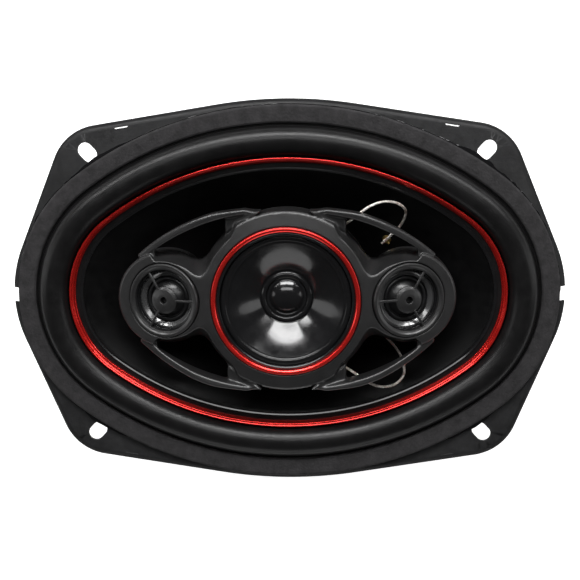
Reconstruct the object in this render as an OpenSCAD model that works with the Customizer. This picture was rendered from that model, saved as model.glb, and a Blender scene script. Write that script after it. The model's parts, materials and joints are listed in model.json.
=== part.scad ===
// Oval 6 x 9 inch coaxial car loudspeaker with a bridge that carries one midrange and two tweeters.
// Z is the speaker axis, pointing out of the front. X is the long axis. Z = 0 is the flange's rear rim.

/* [Flange] */
// Half length of the flange
flange_a = 118; // [112:0.5:122]
// Half width of the flange
flange_b = 82.4; // [78:0.2:86]
// Height of the flange front face above the rear rim
flange_h = 3; // [2:0.1:5]
// Sheet steel thickness
sheet = 1.2; // [0.8:0.1:2]
// Radius of the flange corners
corner_r = 22; // [14:1:30]
// Half spacing of the mounting slots along X
slot_x = 83.5; // [80:0.5:87]
// Half spacing of the mounting slots along Y
slot_y = 60.6; // [57:0.2:63]
// Width of a mounting slot
slot_w = 6.4; // [4:0.2:7]
// Length of a mounting slot
slot_l = 9; // [7:0.5:12]

/* [Suspension] */
// Half length of the front gasket
gasket_a = 115; // [110:0.5:117]
// Half width of the front gasket
gasket_b = 80; // [76:0.5:82]
// Width of the gasket band
gasket_w = 7.5; // [5:0.5:10]
// Radius of the foam half roll
roll_r = 6.4; // [4:0.2:8]
// Half length of the red ring, outside
trim_a = 93.2; // [90:0.2:96]
// Half length of the cone mouth
cone_a = 88; // [84:0.5:90]
// Height of the cone mouth
cone_top = 0.9; // [0:0.1:2]
// Height of the cone neck
cone_bottom = -38; // [-42:0.5:-30]

/* [Motor] */
// Outer radius of the voice coil former
coil_r = 15.85; // [12:0.05:19]
// Height of the basket floor, front face
floor_z = -53; // [-58:0.5:-45]
// Height of the spider seat, front face
seat_z = -44; // [-50:0.5:-38]
// Radius of the ferrite ring
magnet_r = 47.5; // [40:0.5:55]
// Thickness of the ferrite ring
magnet_h = 18; // [12:0.5:25]
// Radius of the steel plates
plate_r = 43.5; // [38:0.5:50]
// Thickness of the front steel plate
plate_h = 5; // [4:0.5:8]
// Thickness of the rear steel plate
back_h = 5.8; // [4:0.2:8]

/* [Bridge] */
// Height of the bridge's front face
bridge_top = 21.4; // [16:0.2:26]
// Outer radius of the centre ring
hub_r = 37.5; // [34:0.5:40]
// Distance of each tweeter from the centre
pod_x = 51; // [48:0.5:54]
// Outer radius of a tweeter pod
pod_r = 20; // [18:0.5:22]
// Outward tilt of a tweeter, degrees
tilt = 18; // [0:1:25]
// Height of a tweeter's face centre
pod_z = 17.5; // [14:0.5:20]
// Width of a bridge arm
arm_w = 3; // [2:0.1:5]

/* [Hidden] */
$fn = 72;
EPS = 0.01;
edge = 0.4;
rise = 0.02;
SPAN = gasket_a - gasket_b;
C1 = 1.5 * SPAN;
C2 = 2 * SPAN;
PHI = atan2(4, 3);
LAP = 0.001;
roll_x = trim_a + 0.6 + roll_r;
neck_r = coil_r + 1.1;
top_plate_z = floor_z - sheet - plate_h;
magnet_z = top_plate_z - magnet_h;
rear_z = magnet_z - back_h;
pole_r = coil_r - 0.85;
pole_top = floor_z - sheet + 1;
LEG_ANGLES = [0, 41, 90, 139, 180, 221, 270, 319];
arm_c = [7.1, -43.2];
arm_r = 82.7;

// ---------- ovals: four arcs that meet in line, so every oval here is parallel to the gasket ----------

// Distance from the axis to the oval whose half length is x, in direction t.
function oval_r(x, t) =
    let(c = abs(cos(t)), s = abs(sin(t)), r1 = x - C1, r2 = x - SPAN + C2,
        px = C1 + r1 * cos(PHI), py = r1 * sin(PHI))
    s * px < c * py
        ? C1 * c + sqrt(r1 * r1 - C1 * C1 * s * s)
        : sqrt(r2 * r2 - C2 * C2 * c * c) - C2 * s;

// Sweeps a section round an oval. The section's x is the half length at that point, its y the height.
module oval_sweep() {
    for (side = [0, 180])
        rotate([0, 0, side]) translate([C1, 0, 0]) rotate([0, 0, -PHI])
            rotate_extrude(angle = 2 * PHI + LAP) translate([-C1, 0]) children();
    for (side = [0, 180])
        rotate([0, 0, side]) translate([0, -C2, 0]) rotate([0, 0, PHI])
            rotate_extrude(angle = 180 - 2 * PHI + LAP) translate([C2 - SPAN, 0]) children();
}

module oval_disc(x, h) {
    oval_sweep() translate([x - 12, 0]) square([12, h]);
    linear_extrude(height = h) oval_core(x - 6);
}

// Flat polygon inside the oval, used only to fill its middle.
module oval_core(x) {
    polygon([for (i = [0 : 71]) oval_r(x, i * 5) * [cos(i * 5), sin(i * 5)]]);
}

// ---------- flange outline: six tangent arcs joined by straight edges ----------

end_r = 52;
end_turn = 22.5;
side_r = 185;
side_turn = 81;
end_c = [flange_a - end_r, 0];
side_c = [0, flange_b - side_r];
DS = end_c[0] * cos(end_turn) + end_r - corner_r;
DT = side_c[1] * sin(side_turn) + side_r - corner_r;
DET = cos(end_turn) * sin(side_turn) - sin(end_turn) * cos(side_turn);
corner_c = [
    (DS * sin(side_turn) - DT * sin(end_turn)) / DET,
    (DT * cos(end_turn) - DS * cos(side_turn)) / DET
];

function on_arc(c, r, a) = c + r * [cos(a), sin(a)];

// Segment of a disc that rises above the straight edges it joins.
module pie(c, r, a0, a1) {
    intersection() {
        translate(c) circle(r = r);
        polygon([on_arc(c, r - 12, a0), on_arc(c, r + 30, a0), on_arc(c, r + 30, a1), on_arc(c, r - 12, a1)]);
    }
}

function flip(p, sx, sy) = [p[0] * sx, p[1] * sy];

// The flange outline, moved inward by d.
module outline(d) {
    q = [
        on_arc(end_c, end_r - d, end_turn),
        on_arc(corner_c, corner_r - d, end_turn),
        on_arc(corner_c, corner_r - d, side_turn),
        on_arc(side_c, side_r - d, side_turn)
    ];
    polygon(concat(
        [for (i = [0 : 3]) q[i]],
        [for (i = [3 : -1 : 0]) flip(q[i], -1, 1)],
        [for (i = [0 : 3]) flip(q[i], -1, -1)],
        [for (i = [3 : -1 : 0]) flip(q[i], 1, -1)]
    ));
    for (side = [0, 180]) rotate([0, 0, side]) {
        pie(end_c, end_r - d + rise, -end_turn - 4, end_turn + 4);
        pie(side_c, side_r - d + rise, side_turn - 4, 184 - side_turn);
        pie(corner_c, corner_r - d + rise, end_turn - 4, side_turn + 4);
        mirror([0, 1, 0]) pie(corner_c, corner_r - d + rise, end_turn - 4, side_turn + 4);
    }
}

module four_ways() {
    for (sx = [0, 1], sy = [0, 1])
        mirror([sx, 0, 0]) mirror([0, sy, 0]) children();
}

// ---------- skins: closed loops of points joined into a solid ----------

module skin(loops, ring = false) {
    n = len(loops);
    m = len(loops[0]);
    pts = [for (l = loops) for (p = l) p];
    last = ring ? n : n - 1;
    sides = [
        for (i = [0 : last - 1]) for (j = [0 : m - 1])
            let(a = i * m + j, b = i * m + (j + 1) % m,
                c = ((i + 1) % n) * m + (j + 1) % m, d = ((i + 1) % n) * m + j)
            each [[a, b, c], [a, c, d]]
    ];
    caps = ring ? [] : [
        [for (j = [m - 1 : -1 : 0]) j],
        [for (j = [0 : m - 1]) (n - 1) * m + j]
    ];
    polyhedron(points = pts, faces = concat(sides, caps), convexity = 6);
}

function mix(a, b, s) = a + (b - a) * s;

// Round cord through a short route, smoothed between its points.
function bezier(a, b, c, d, s) =
    a * pow(1 - s, 3) + b * 3 * s * pow(1 - s, 2) + c * 3 * s * s * (1 - s) + d * pow(s, 3);
function route_pt(p, i, s) =
    let(n = len(p), a = p[i], b = p[i + 1],
        ta = (b - p[max(i - 1, 0)]) / 6, tb = (p[min(i + 2, n - 1)] - a) / 6)
    bezier(a, a + ta, b - tb, b, s);
function route(p, k) = concat(
    [for (i = [0 : len(p) - 2]) for (j = [0 : k - 1]) route_pt(p, i, j / k)],
    [p[len(p) - 1]]);
function unit(v) = v / norm(v);
module cord(p, r, k = 4, sides = 10) {
    q = route(p, k);
    n = len(q);
    skin([
        for (i = [0 : n - 1])
            let(t = unit(q[min(i + 1, n - 1)] - q[max(i - 1, 0)]),
                u = unit(cross(t, [0.11, 0.93, 0.35])), v = cross(t, u))
            [for (j = [0 : sides - 1])
                q[i] + r * (cos(-j * 360 / sides) * u + sin(-j * 360 / sides) * v)]
    ]);
}

// ---------- basket ----------

// The bowl between the wall and the spider seat is a pressed shell: a band at its top belongs to
// the flange, a band at its bottom to the pan, and the legs stand between its windows. Each leg
// and the window after it is one bay of nine cells.
LEG_CELLS = 4;
BAY_CELLS = 9;
BOWL_ROWS = 8;
BOWL_COLS = BAY_CELLS * len(LEG_ANGLES);

function leg_half(k, s) = LEG_ANGLES[k % 8] % 180 == 0 ? mix(9, 7.5, s) : mix(11, 7.5, s);
function leg_turn(k, s) =
    asin(leg_half(k, s) / mix(oval_r(95.5, LEG_ANGLES[k % 8]), 56.5, s));
function leg_at(k) = k < 8 ? LEG_ANGLES[k] : LEG_ANGLES[k - 8] + 360;
function cell_angle(i, s) =
    let(k = floor(i / BAY_CELLS), j = i % BAY_CELLS,
        low = leg_at(k) + leg_turn(k, s), high = leg_at(k + 1) - leg_turn(k + 1, s))
    j < LEG_CELLS
        ? leg_at(k) + (2 * j / LEG_CELLS - 1) * leg_turn(k, s)
        : mix(low, high, (j - LEG_CELLS) / (BAY_CELLS - LEG_CELLS));
function bowl_pt(i, q, d) =
    let(s = q / BOWL_ROWS, t = cell_angle(i % BOWL_COLS, s),
        r = mix(oval_r(95.5, t), 56.5, s) + 3.2 * sin(180 * s) + d)
    [r * cos(t), r * sin(t), mix(-16.9, seat_z - 0.9, s) - 2.6 * sin(180 * s) * (1 - s) - 0.5 * d];

// A patch of the shell: columns of cells from i0 and rows from q0. A loop closes round the bowl.
module shell(i0, cols, q0, rows, loop) {
    n = loop ? cols : cols + 1;
    m = rows + 1;
    pts = [for (d = [0, sheet]) for (i = [0 : n - 1]) for (q = [0 : rows]) bowl_pt(i0 + i, q0 + q, d)];
    function at(i, q, side) = side * n * m + (i % n) * m + q;
    function quad(a, b, c, d) = [[a, b, c], [a, c, d]];
    faces = [
        for (i = [0 : cols - 1]) for (q = [0 : rows - 1]) each concat(
            quad(at(i, q, 0), at(i, q + 1, 0), at(i + 1, q + 1, 0), at(i + 1, q, 0)),
            quad(at(i, q, 1), at(i + 1, q, 1), at(i + 1, q + 1, 1), at(i, q + 1, 1))),
        for (i = [0 : cols - 1]) each concat(
            quad(at(i, 0, 0), at(i + 1, 0, 0), at(i + 1, 0, 1), at(i, 0, 1)),
            quad(at(i, rows, 0), at(i, rows, 1), at(i + 1, rows, 1), at(i + 1, rows, 0))),
        if (!loop) for (q = [0 : rows - 1]) each concat(
            quad(at(0, q, 0), at(0, q, 1), at(0, q + 1, 1), at(0, q + 1, 0)),
            quad(at(cols, q, 0), at(cols, q + 1, 0), at(cols, q + 1, 1), at(cols, q, 1)))
    ];
    polyhedron(points = pts, faces = faces, convexity = 8);
}

module slot(w, l, h) {
    hull_x = l / 2 - w / 2;
    linear_extrude(height = h) {
        translate([hull_x, 0]) circle(d = w);
        translate([-hull_x, 0]) circle(d = w);
        square([2 * hull_x, w], center = true);
    }
}

module basket_flange() {
    color([0.07, 0.07, 0.075]) {
        difference() {
            union() {
                linear_extrude(height = flange_h - edge) difference() {
                    outline(0);
                    outline(sheet);
                }
                translate([0, 0, flange_h - sheet]) linear_extrude(height = sheet - edge) outline(0);
                translate([0, 0, flange_h - edge - EPS]) linear_extrude(height = edge + EPS) outline(edge);
            }
            translate([0, 0, -1]) oval_disc(105, 8);
            four_ways() translate([slot_x, slot_y, -1]) rotate([0, 0, 47]) slot(slot_w, slot_l, 8);
            four_ways() translate([69, 71.2, -1]) rotate([0, 0, -9]) slot(1.1, 6, 8);
            for (sx = [-1, 1]) translate([sx * flange_a, 0, 0]) cube([4, 6.4, 12], center = true);
        }
        oval_sweep() polygon([
            [105, flange_h], [104, flange_h - 0.5], [103, flange_h - 2], [98.8, -15.2], [94.5, -16.6],
            [94.5, -17.8], [99.4, -16.6], [100, -15.8], [104.2, 0.6], [105, flange_h - sheet]
        ]);
        shell(0, BOWL_COLS, 0, 1, true);
    }
}

module basket_legs() {
    color([0.07, 0.07, 0.075]) for (k = [0 : len(LEG_ANGLES) - 1])
        shell(BAY_CELLS * k, LEG_CELLS, 1, BOWL_ROWS - 2, false);
}

module basket_pan() {
    color([0.07, 0.07, 0.075]) {
        shell(0, BOWL_COLS, BOWL_ROWS - 1, 1, true);
        difference() {
            rotate_extrude() polygon([
                [59, seat_z - 0.2], [58.2, seat_z], [48.4, seat_z], [46, floor_z], [19, floor_z],
                [19, floor_z - sheet], [47, floor_z - sheet], [49.3, seat_z - sheet],
                [57.6, seat_z - sheet], [58.8, seat_z - 2.4], [60, seat_z - 2.2]
            ]);
            for (a = [45 : 90 : 359]) rotate([0, 0, a]) translate([33, 0, floor_z - 3])
                cylinder(r = 2, h = 6);
        }
    }
}

module front_gasket() {
    x = gasket_a - gasket_w;
    color([0.1, 0.1, 0.1]) oval_sweep() polygon([
        [x, flange_h + 0.5], [gasket_a, flange_h + 0.5], [gasket_a, flange_h + 2],
        [gasket_a - 0.6, flange_h + 2.5], [x + 0.6, flange_h + 2.5], [x, flange_h + 2]
    ]);
}

// ---------- woofer moving parts ----------

module woofer_surround() {
    z = flange_h + 0.2;
    color([0.09, 0.09, 0.095]) {
        oval_sweep() {
            intersection() {
                translate([roll_x, z]) difference() {
                    circle(r = roll_r);
                    circle(r = roll_r - 0.7);
                }
                translate([roll_x - 10, z]) square([20, 10]);
            }
            polygon([
                [roll_x + roll_r - 0.7, z], [roll_x + roll_r, z + 0.3], [gasket_a - 1, z + 0.3],
                [gasket_a - 1, flange_h], [roll_x + roll_r - 0.7, flange_h]
            ]);
            polygon([
                [roll_x - roll_r, z], [roll_x - roll_r + 0.7, z], [trim_a + 0.9, cone_top + 0.5],
                [trim_a + 0.4, cone_top], [cone_a - 0.2, cone_top], [cone_a - 0.2, cone_top + 0.6],
                [trim_a - 2.4, cone_top + 0.6], [trim_a + 0.2, cone_top + 0.6]
            ]);
        }
    }
}

module cone_trim_ring() {
    x = trim_a;
    z = cone_top + 0.6;
    color([0.75, 0.04, 0.05]) oval_sweep() polygon([
        [x - 2.2, z], [x - 0.8, z], [x, z + 3.6], [x - 0.1, z + 4], [x - 0.5, z + 4.1],
        [x - 0.75, z + 3.3], [x - 1.0, z + 3.2], [x - 1.3, z + 2.2], [x - 1.55, z + 2.1],
        [x - 1.85, z + 1], [x - 2.2, z + 0.7]
    ]);
}

function cone_z(s) = cone_top - (cone_top - cone_bottom) * (0.8 * s + 0.2 * s * s);
function cone_pt(t, s, d) =
    let(r = mix(oval_r(cone_a, t), neck_r - 0.6, s) - d * 0.3)
    [r * cos(t), r * sin(t), cone_z(s) - d];

module woofer_cone() {
    rows = 6;
    step = 5;
    color([0.03, 0.03, 0.035]) {
        skin([
            for (t = [0 : step : 360 - step]) concat(
                [[oval_r(trim_a - 0.3, t) * cos(t), oval_r(trim_a - 0.3, t) * sin(t), cone_top - 0.7]],
                [[oval_r(trim_a - 0.3, t) * cos(t), oval_r(trim_a - 0.3, t) * sin(t), cone_top]],
                [for (i = [0 : rows]) cone_pt(t, i / rows, 0)],
                [for (i = [rows : -1 : 0]) cone_pt(t, i / rows, 0.7)]
            )
        ], ring = true);
        translate([0, 0, cone_bottom - 3]) difference() {
            cylinder(r = neck_r, h = 3.6);
            translate([0, 0, -1]) cylinder(r = coil_r, h = 6);
        }
    }
}

module woofer_coil_former() {
    color([0.85, 0.75, 0.5]) translate([0, 0, -66]) difference() {
        cylinder(r = coil_r, h = 28.4);
        translate([0, 0, -1]) cylinder(r = coil_r - 0.35, h = 31);
    }
}

module woofer_coil_winding() {
    color([0.75, 0.35, 0.15]) translate([0, 0, -62.6]) difference() {
        cylinder(r = coil_r + 0.85, h = 11.6);
        translate([0, 0, -1]) cylinder(r = coil_r, h = 14);
    }
}

function wave(r, r0, r1, n, h) = h * sin(360 * n * (r - r0) / (r1 - r0));

// Corrugated disc: n waves of height h between two radii.
module corrugated(r_in, r0, r1, r_out, z, n, h, t, neck) {
    steps = 8 * n;
    xs = [for (i = [0 : steps]) mix(r0, r1, i / steps)];
    rotate_extrude() polygon(concat(
        [[r_in, z - neck], [r_in, z + t]],
        [for (x = xs) [x, z + t + wave(x, r0, r1, n, h)]],
        [[r_out, z + t], [r_out, z]],
        [for (i = [steps : -1 : 0]) [xs[i], z + wave(xs[i], r0, r1, n, h)]],
        [[r_in + 0.7, z], [r_in + 0.7, z - neck]]
    ));
}

module woofer_spider() {
    color([0.72, 0.6, 0.3]) corrugated(coil_r, 18.5, 47.5, 57, seat_z, 6, 1.5, 0.5, 2);
}

// ---------- woofer motor ----------

module magnet_top_plate() {
    color([0.6, 0.61, 0.63]) translate([0, 0, top_plate_z]) difference() {
        rotate_extrude() polygon([
            [coil_r + 1.4, 0], [plate_r - 0.6, 0], [plate_r, 0.6], [plate_r, plate_h - 0.6],
            [plate_r - 0.6, plate_h], [coil_r + 1.4, plate_h]
        ]);
        for (a = [45 : 90 : 359]) rotate([0, 0, a]) translate([33, 0, -1]) cylinder(r = 2, h = 8);
    }
}

module basket_rivets() {
    color([0.65, 0.66, 0.68]) for (a = [45 : 90 : 359]) rotate([0, 0, a]) translate([33, 0, 0]) {
        translate([0, 0, floor_z]) rotate_extrude() polygon([
            [0, 0], [3.6, 0], [3.4, 0.8], [2.4, 1.6], [0, 1.9]
        ]);
        translate([0, 0, top_plate_z + 0.4]) cylinder(r = 2, h = plate_h + sheet);
    }
}

module magnet_ring() {
    color([0.1, 0.1, 0.11]) translate([0, 0, magnet_z]) rotate_extrude() polygon([
        [22, 0.4], [22.4, 0], [magnet_r - 1, 0], [magnet_r, 1], [magnet_r, magnet_h - 1],
        [magnet_r - 1, magnet_h], [22.4, magnet_h], [22, magnet_h - 0.4]
    ]);
}

module pole_yoke() {
    color([0.6, 0.61, 0.63]) difference() {
        rotate_extrude() polygon([
            [4.2, rear_z], [plate_r - 1, rear_z], [plate_r, rear_z + 1], [plate_r, magnet_z - 0.6],
            [plate_r - 0.6, magnet_z], [pole_r + 1.5, magnet_z], [pole_r, magnet_z + 1.5],
            [pole_r, pole_top - 0.6], [pole_r - 0.6, pole_top], [4.2, pole_top]
        ]);
        translate([0, 0, rear_z - 1]) cylinder(r = 9, h = 6.2);
    }
}

module bridge_post() {
    color([0.62, 0.62, 0.64]) {
        translate([0, 0, rear_z + 0.6]) cylinder(r = 4, h = -rear_z - 12);
        rotate_extrude() polygon([
            [3.5, pole_top], [8.5, pole_top], [8.5, -14.5], [8, -14], [3.5, -14]
        ]);
    }
}

module post_washer() {
    color([0.7, 0.7, 0.72]) translate([0, 0, rear_z + 4.2]) difference() {
        cylinder(r = 7.5, h = 1);
        translate([0, 0, -1]) cylinder(r = 4.1, h = 3);
    }
}

module post_nut() {
    color([0.7, 0.7, 0.72]) translate([0, 0, rear_z + 1]) difference() {
        cylinder(d = 15, h = 3.2, $fn = 6);
        translate([0, 0, -1]) cylinder(r = 4, h = 6);
    }
}

// ---------- terminals, on the sloping leg at the +X end ----------

leg_slope = 33.1;
module on_leg() {
    translate([80.5, 0, -32.9]) rotate([0, -leg_slope, 0]) children();
}

function leg_pt(p) = [
    80.5 + p[0] * cos(leg_slope) - p[2] * sin(leg_slope), p[1],
    -32.9 + p[0] * sin(leg_slope) + p[2] * cos(leg_slope)
];

module terminal_board() {
    color([0.25, 0.17, 0.08]) on_leg() difference() {
        translate([-7, -15, -1.6]) cube([14, 30, 1.6]);
        for (y = [-3, 3]) translate([0, y, -3]) cylinder(r = 1.2, h = 8);
        for (y = [-10.5, 10.5]) translate([0, y, -3]) cylinder(r = 1.1, h = 8);
    }
}

module terminal_tab(w) {
    difference() {
        union() {
            translate([-6.4, -w / 2, -2.4]) cube([11, w, 0.8]);
            translate([-6.4, -w / 2, -11]) cube([0.8, w, 9]);
            translate([4, -1.2, -2.4]) cube([5, 2.4, 0.8]);
        }
        translate([0, 0, -3]) cylinder(r = 1.1, h = 4);
        translate([-7, 0, -8]) rotate([0, 90, 0]) cylinder(r = 0.8, h = 3);
    }
}

module positive_terminal() {
    color([0.8, 0.68, 0.35]) on_leg() translate([0, 10.5, 0]) terminal_tab(6.3);
}

module negative_terminal() {
    color([0.75, 0.76, 0.78]) on_leg() translate([0, -10.5, 0]) terminal_tab(4.8);
}

module terminal_rivets() {
    color([0.7, 0.7, 0.72]) on_leg() {
        for (y = [-10.5, 10.5]) translate([0, y, 0]) {
            translate([0, 0, -3.4]) cylinder(r = 2, h = 1);
            translate([0, 0, -2.6]) cylinder(r = 1.1, h = 2.9);
            cylinder(r = 1.9, h = 0.8);
        }
        for (y = [-3, 3]) translate([0, y, 0]) {
            translate([0, 0, -2.6]) cylinder(r = 2.1, h = 1);
            translate([0, 0, -2.6]) cylinder(r = 1.2, h = 4.6);
            translate([0, 0, 1.5]) cylinder(r = 2, h = 0.7);
        }
    }
}

// ---------- leads ----------

eyelet_t = 26;
eyelet_s = 0.46;
eyelet_p = cone_pt(eyelet_t, eyelet_s, 0);
eyelet_tip = 31;
eyelet_n = [-sin(eyelet_tip) * cos(eyelet_t), -sin(eyelet_tip) * sin(eyelet_t), cos(eyelet_tip)];

module cone_lead_eyelets() {
    color([0.8, 0.7, 0.4]) for (sy = [0, 1]) mirror([0, sy, 0])
        translate(eyelet_p) rotate([0, 0, eyelet_t]) rotate([0, -eyelet_tip, 0]) rotate_extrude() polygon([
            [0.6, -1.6], [1.8, -1.6], [1.8, -1], [1.1, -0.9], [1.1, 0.1], [2.1, 0.2], [2, 0.7],
            [1.2, 1], [0.6, 0.8]
        ]);
}

module bridge_lead() {
    color([0.75, 0.72, 0.66]) cord([
        [21, 29, 9.5], [24.6, 30.6, 8.4], [29, 33.6, 7.8], [34, 37.4, 7.4], [40, 39.6, 6.8],
        [46, 39, 5], [50, 35.5, 1], [49.6, 30.5, -4.4], [46.6, 25.6, -8.6],
        eyelet_p + 4.6 * eyelet_n, eyelet_p + 1.9 * eyelet_n
    ], 0.58);
}

module positive_bridge_lead() { bridge_lead(); }
module negative_bridge_lead() { mirror([0, 1, 0]) bridge_lead(); }

module woofer_lead() {
    color([0.75, 0.72, 0.66]) cord([
        eyelet_p - 2.5 * eyelet_n, eyelet_p - 6 * eyelet_n + [1, -0.5, 0], [56, 18.5, -27.5],
        [67, 15, -31], leg_pt([-3, 12, 3.6]), leg_pt([4, 10.8, 2.6]), leg_pt([8, 10.5, 1]),
        leg_pt([8.2, 10.5, -1.9])
    ], 0.58, k = 5);
}

module positive_woofer_lead() { woofer_lead(); }
module negative_woofer_lead() { mirror([0, 1, 0]) woofer_lead(); }

// ---------- bridge ----------

module pod_frame(side) {
    translate([side * pod_x, 0, pod_z]) rotate([0, side * tilt, 0]) children();
}

module arm_section() {
    translate([arm_r - arm_w, 0]) polygon([
        [0, 11], [arm_w, 11], [arm_w, 19.2], [arm_w - 0.9, 20.6], [0.9, 20.6], [0, 19.2]
    ]);
}

module bridge_housing() {
    color([0.13, 0.13, 0.135]) difference() {
        union() {
            difference() {
                rotate_extrude() polygon([
                    [28, 4], [hub_r, 4], [hub_r, 19], [hub_r - 0.6, 20.6], [hub_r - 1.8, bridge_top],
                    [28, bridge_top]
                ]);
                four_ways() rotate([0, 0, 24]) rotate_extrude(angle = 22) polygon([
                    [35.2, 21.5], [38.4, 13], [40.5, 13], [40.5, 23], [35.2, 23]
                ]);
            }
            for (side = [-1, 1]) difference() {
                translate([side * pod_x, 0, 4]) cylinder(r = pod_r, h = 22);
                pod_frame(side) translate([-30, -30, 0]) cube([60, 60, 30]);
                intersection() {
                    translate([side * pod_x, 0, 3]) cylinder(r = pod_r - 2, h = 25);
                    pod_frame(side) translate([-30, -30, -42.4]) cube([60, 60, 40]);
                }
            }
            four_ways() difference() {
                translate([arm_c[0], arm_c[1], 0]) rotate([0, 0, 48.5])
                    rotate_extrude(angle = 38) arm_section();
                pod_frame(1) translate([-14.5, -40, -1.3]) cube([50, 80, 30]);
                translate([0, 0, 8]) linear_extrude(height = 16) polygon([
                    [24, 37.2], [16.7, 38.1], [10.6, 36.85], [8, 36.3], [8, 46], [24, 46]
                ]);
            }
            four_ways() translate([0, 0, 10.4]) linear_extrude(height = 9.3) polygon([
                [11.2, 36.6], [15, 37.4], [24, 34.2], [25.4, 33], [25, 30.6], [24, 28], [18, 31.2],
                [16.7, 32.8]
            ]);
            four_ways() translate([0, 0, 10.4]) linear_extrude(height = 3.5) polygon([
                [54.3, 17], [54.3, 20.9], [57.5, 19], [57.5, 16]
            ]);
            four_ways() translate([0, 0, 4]) linear_extrude(height = 9) polygon([
                [34, 9], [33.4, 17], [36.6, 15.6], [39.4, 15.8], [42, 17.6], [42, 10]
            ]);
            four_ways() translate([17, 33.4, 4]) cylinder(r = 3.4, h = 8);
        }
        translate([0, 0, 3]) cylinder(r = hub_r - 2.4, h = 13.4);
        translate([0, 0, 15]) cylinder(r = 29.7, h = 12);
        translate([0, 0, 18.2]) cylinder(r = 31.1, h = 12);
        for (side = [-1, 1]) pod_frame(side) {
            translate([0, 0, -3.3]) cylinder(r = 15.7, h = 20);
            translate([0, 0, -8.4]) cylinder(r = 13.6, h = 10);
        }
        four_ways() translate([17, 33.4, 3]) cylinder(r = 1.2, h = 9);
    }
}

module bridge_rear_cover() {
    color([0.11, 0.11, 0.115]) difference() {
        union() {
            rotate_extrude() polygon([
                [0, -10], [26, -10], [33.5, -5], [34, -4], [36, 2], [hub_r, 2.4], [hub_r, 4], [0, 4]
            ]);
            for (side = [-1, 1]) translate([side * pod_x, 0, 0]) cylinder(r = pod_r, h = 4);
            four_ways() translate([17, 33.4, 2]) cylinder(r = 3.4, h = 2);
            translate([0, 0, -14]) cylinder(r = 9.5, h = 5);
        }
        rotate_extrude() polygon([
            [0, -8], [25.5, -8], [32, -3.8], [34.4, 2], [34.4, 5], [0, 5]
        ]);
        for (side = [-1, 1]) translate([side * pod_x, 0, 1.4]) cylinder(r = pod_r - 2, h = 4);
        four_ways() translate([17, 33.4, 1]) cylinder(r = 1.5, h = 5);
        four_ways() translate([17, 33.4, -3]) cylinder(r = 3, h = 5);
        translate([0, 0, -15]) cylinder(r = 4, h = 10);
    }
}

module bridge_screws() {
    color([0.5, 0.5, 0.52]) four_ways() translate([17, 33.4, 0]) {
        cylinder(r = 2.6, h = 2);
        translate([0, 0, 1.9]) cylinder(r = 1.2, h = 8);
    }
}

// ---------- midrange ----------

module midrange_trim_ring() {
    color([0.8, 0.05, 0.06]) translate([0, 0, 20.6]) rotate_extrude() polygon([
        [28.9, 0], [30.9, 0], [30.9, 0.9], [30.6, 1.25], [30.2, 1.4], [29.5, 1.3], [29.1, 1.05],
        [28.9, 0.7]
    ]);
}

module midrange_frame() {
    color([0.06, 0.06, 0.065]) rotate_extrude() polygon([
        [27.4, 19], [27.4, 20.4], [28.2, 20.9], [28.8, 20.6], [31, 20.6], [31, 18.2], [29.6, 18.2],
        [20, 4.2], [19.6, 3], [9.6, 3], [9.6, 4], [16.2, 4], [16.2, 5.4], [19, 5.4], [27.2, 17.6]
    ]);
}

module midrange_surround() {
    color([0.05, 0.05, 0.055]) rotate_extrude() {
        intersection() {
            translate([26.05, 18.3]) difference() {
                circle(r = 1.15);
                circle(r = 0.8);
            }
            translate([24, 18.3]) square([4, 3]);
        }
        polygon([[26.85, 18.3], [27.2, 18.3], [27.2, 19], [26.85, 19]]);
        polygon([[23.9, 17.9], [25.25, 17.9], [25.25, 18.3], [24.9, 18.3], [23.9, 18.2]]);
    }
}

module midrange_cone() {
    color([0.04, 0.04, 0.045]) rotate_extrude() polygon([
        [25, 17.9], [24.6, 17.9], [20, 15.4], [15.5, 12.6], [11, 9.4], [10.7, 9.9], [9.8, 10.4],
        [8.9, 10.2], [8.5, 9.3], [8, 8.8], [8, 6.2], [8.5, 6.2], [8.6, 7.6], [11, 8.6],
        [15.7, 11.9], [20.2, 14.7], [25, 17.4]
    ]);
}

module midrange_dust_dome() {
    R = 11.6;
    color([0.05, 0.05, 0.055]) translate([0, 0, 9.3]) rotate_extrude() difference() {
        intersection() {
            translate([0, 2.6 - R]) circle(r = R);
            square([7.5, 5]);
        }
        translate([0, 2.2 - R]) circle(r = R);
        translate([-20, -20]) square([20, 40]);
    }
}

module midrange_coil_former() {
    color([0.85, 0.75, 0.5]) translate([0, 0, -3.4]) difference() {
        cylinder(r = 8, h = 12.6);
        translate([0, 0, -1]) cylinder(r = 7.65, h = 16);
    }
}

module midrange_coil_winding() {
    color([0.75, 0.35, 0.15]) translate([0, 0, -1.2]) difference() {
        cylinder(r = 8.35, h = 5.4);
        translate([0, 0, -1]) cylinder(r = 8, h = 8);
    }
}

module midrange_spider() {
    color([0.72, 0.6, 0.3]) corrugated(8, 9.4, 15.8, 18.2, 5.4, 3, 0.5, 0.3, 0.6);
}

module midrange_top_plate() {
    color([0.6, 0.61, 0.63]) translate([0, 0, 0.8]) difference() {
        cylinder(r = 14.5, h = 2.2);
        translate([0, 0, -1]) cylinder(r = 8.8, h = 5);
    }
}

module midrange_magnet() {
    color([0.1, 0.1, 0.11]) translate([0, 0, -5.2]) difference() {
        cylinder(r = 16, h = 6);
        translate([0, 0, -1]) cylinder(r = 10.6, h = 8);
    }
}

module midrange_yoke() {
    color([0.6, 0.61, 0.63]) {
        translate([0, 0, -8]) cylinder(r = 14.5, h = 2.8);
        translate([0, 0, -6]) cylinder(r = 7.1, h = 9);
    }
}

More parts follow.
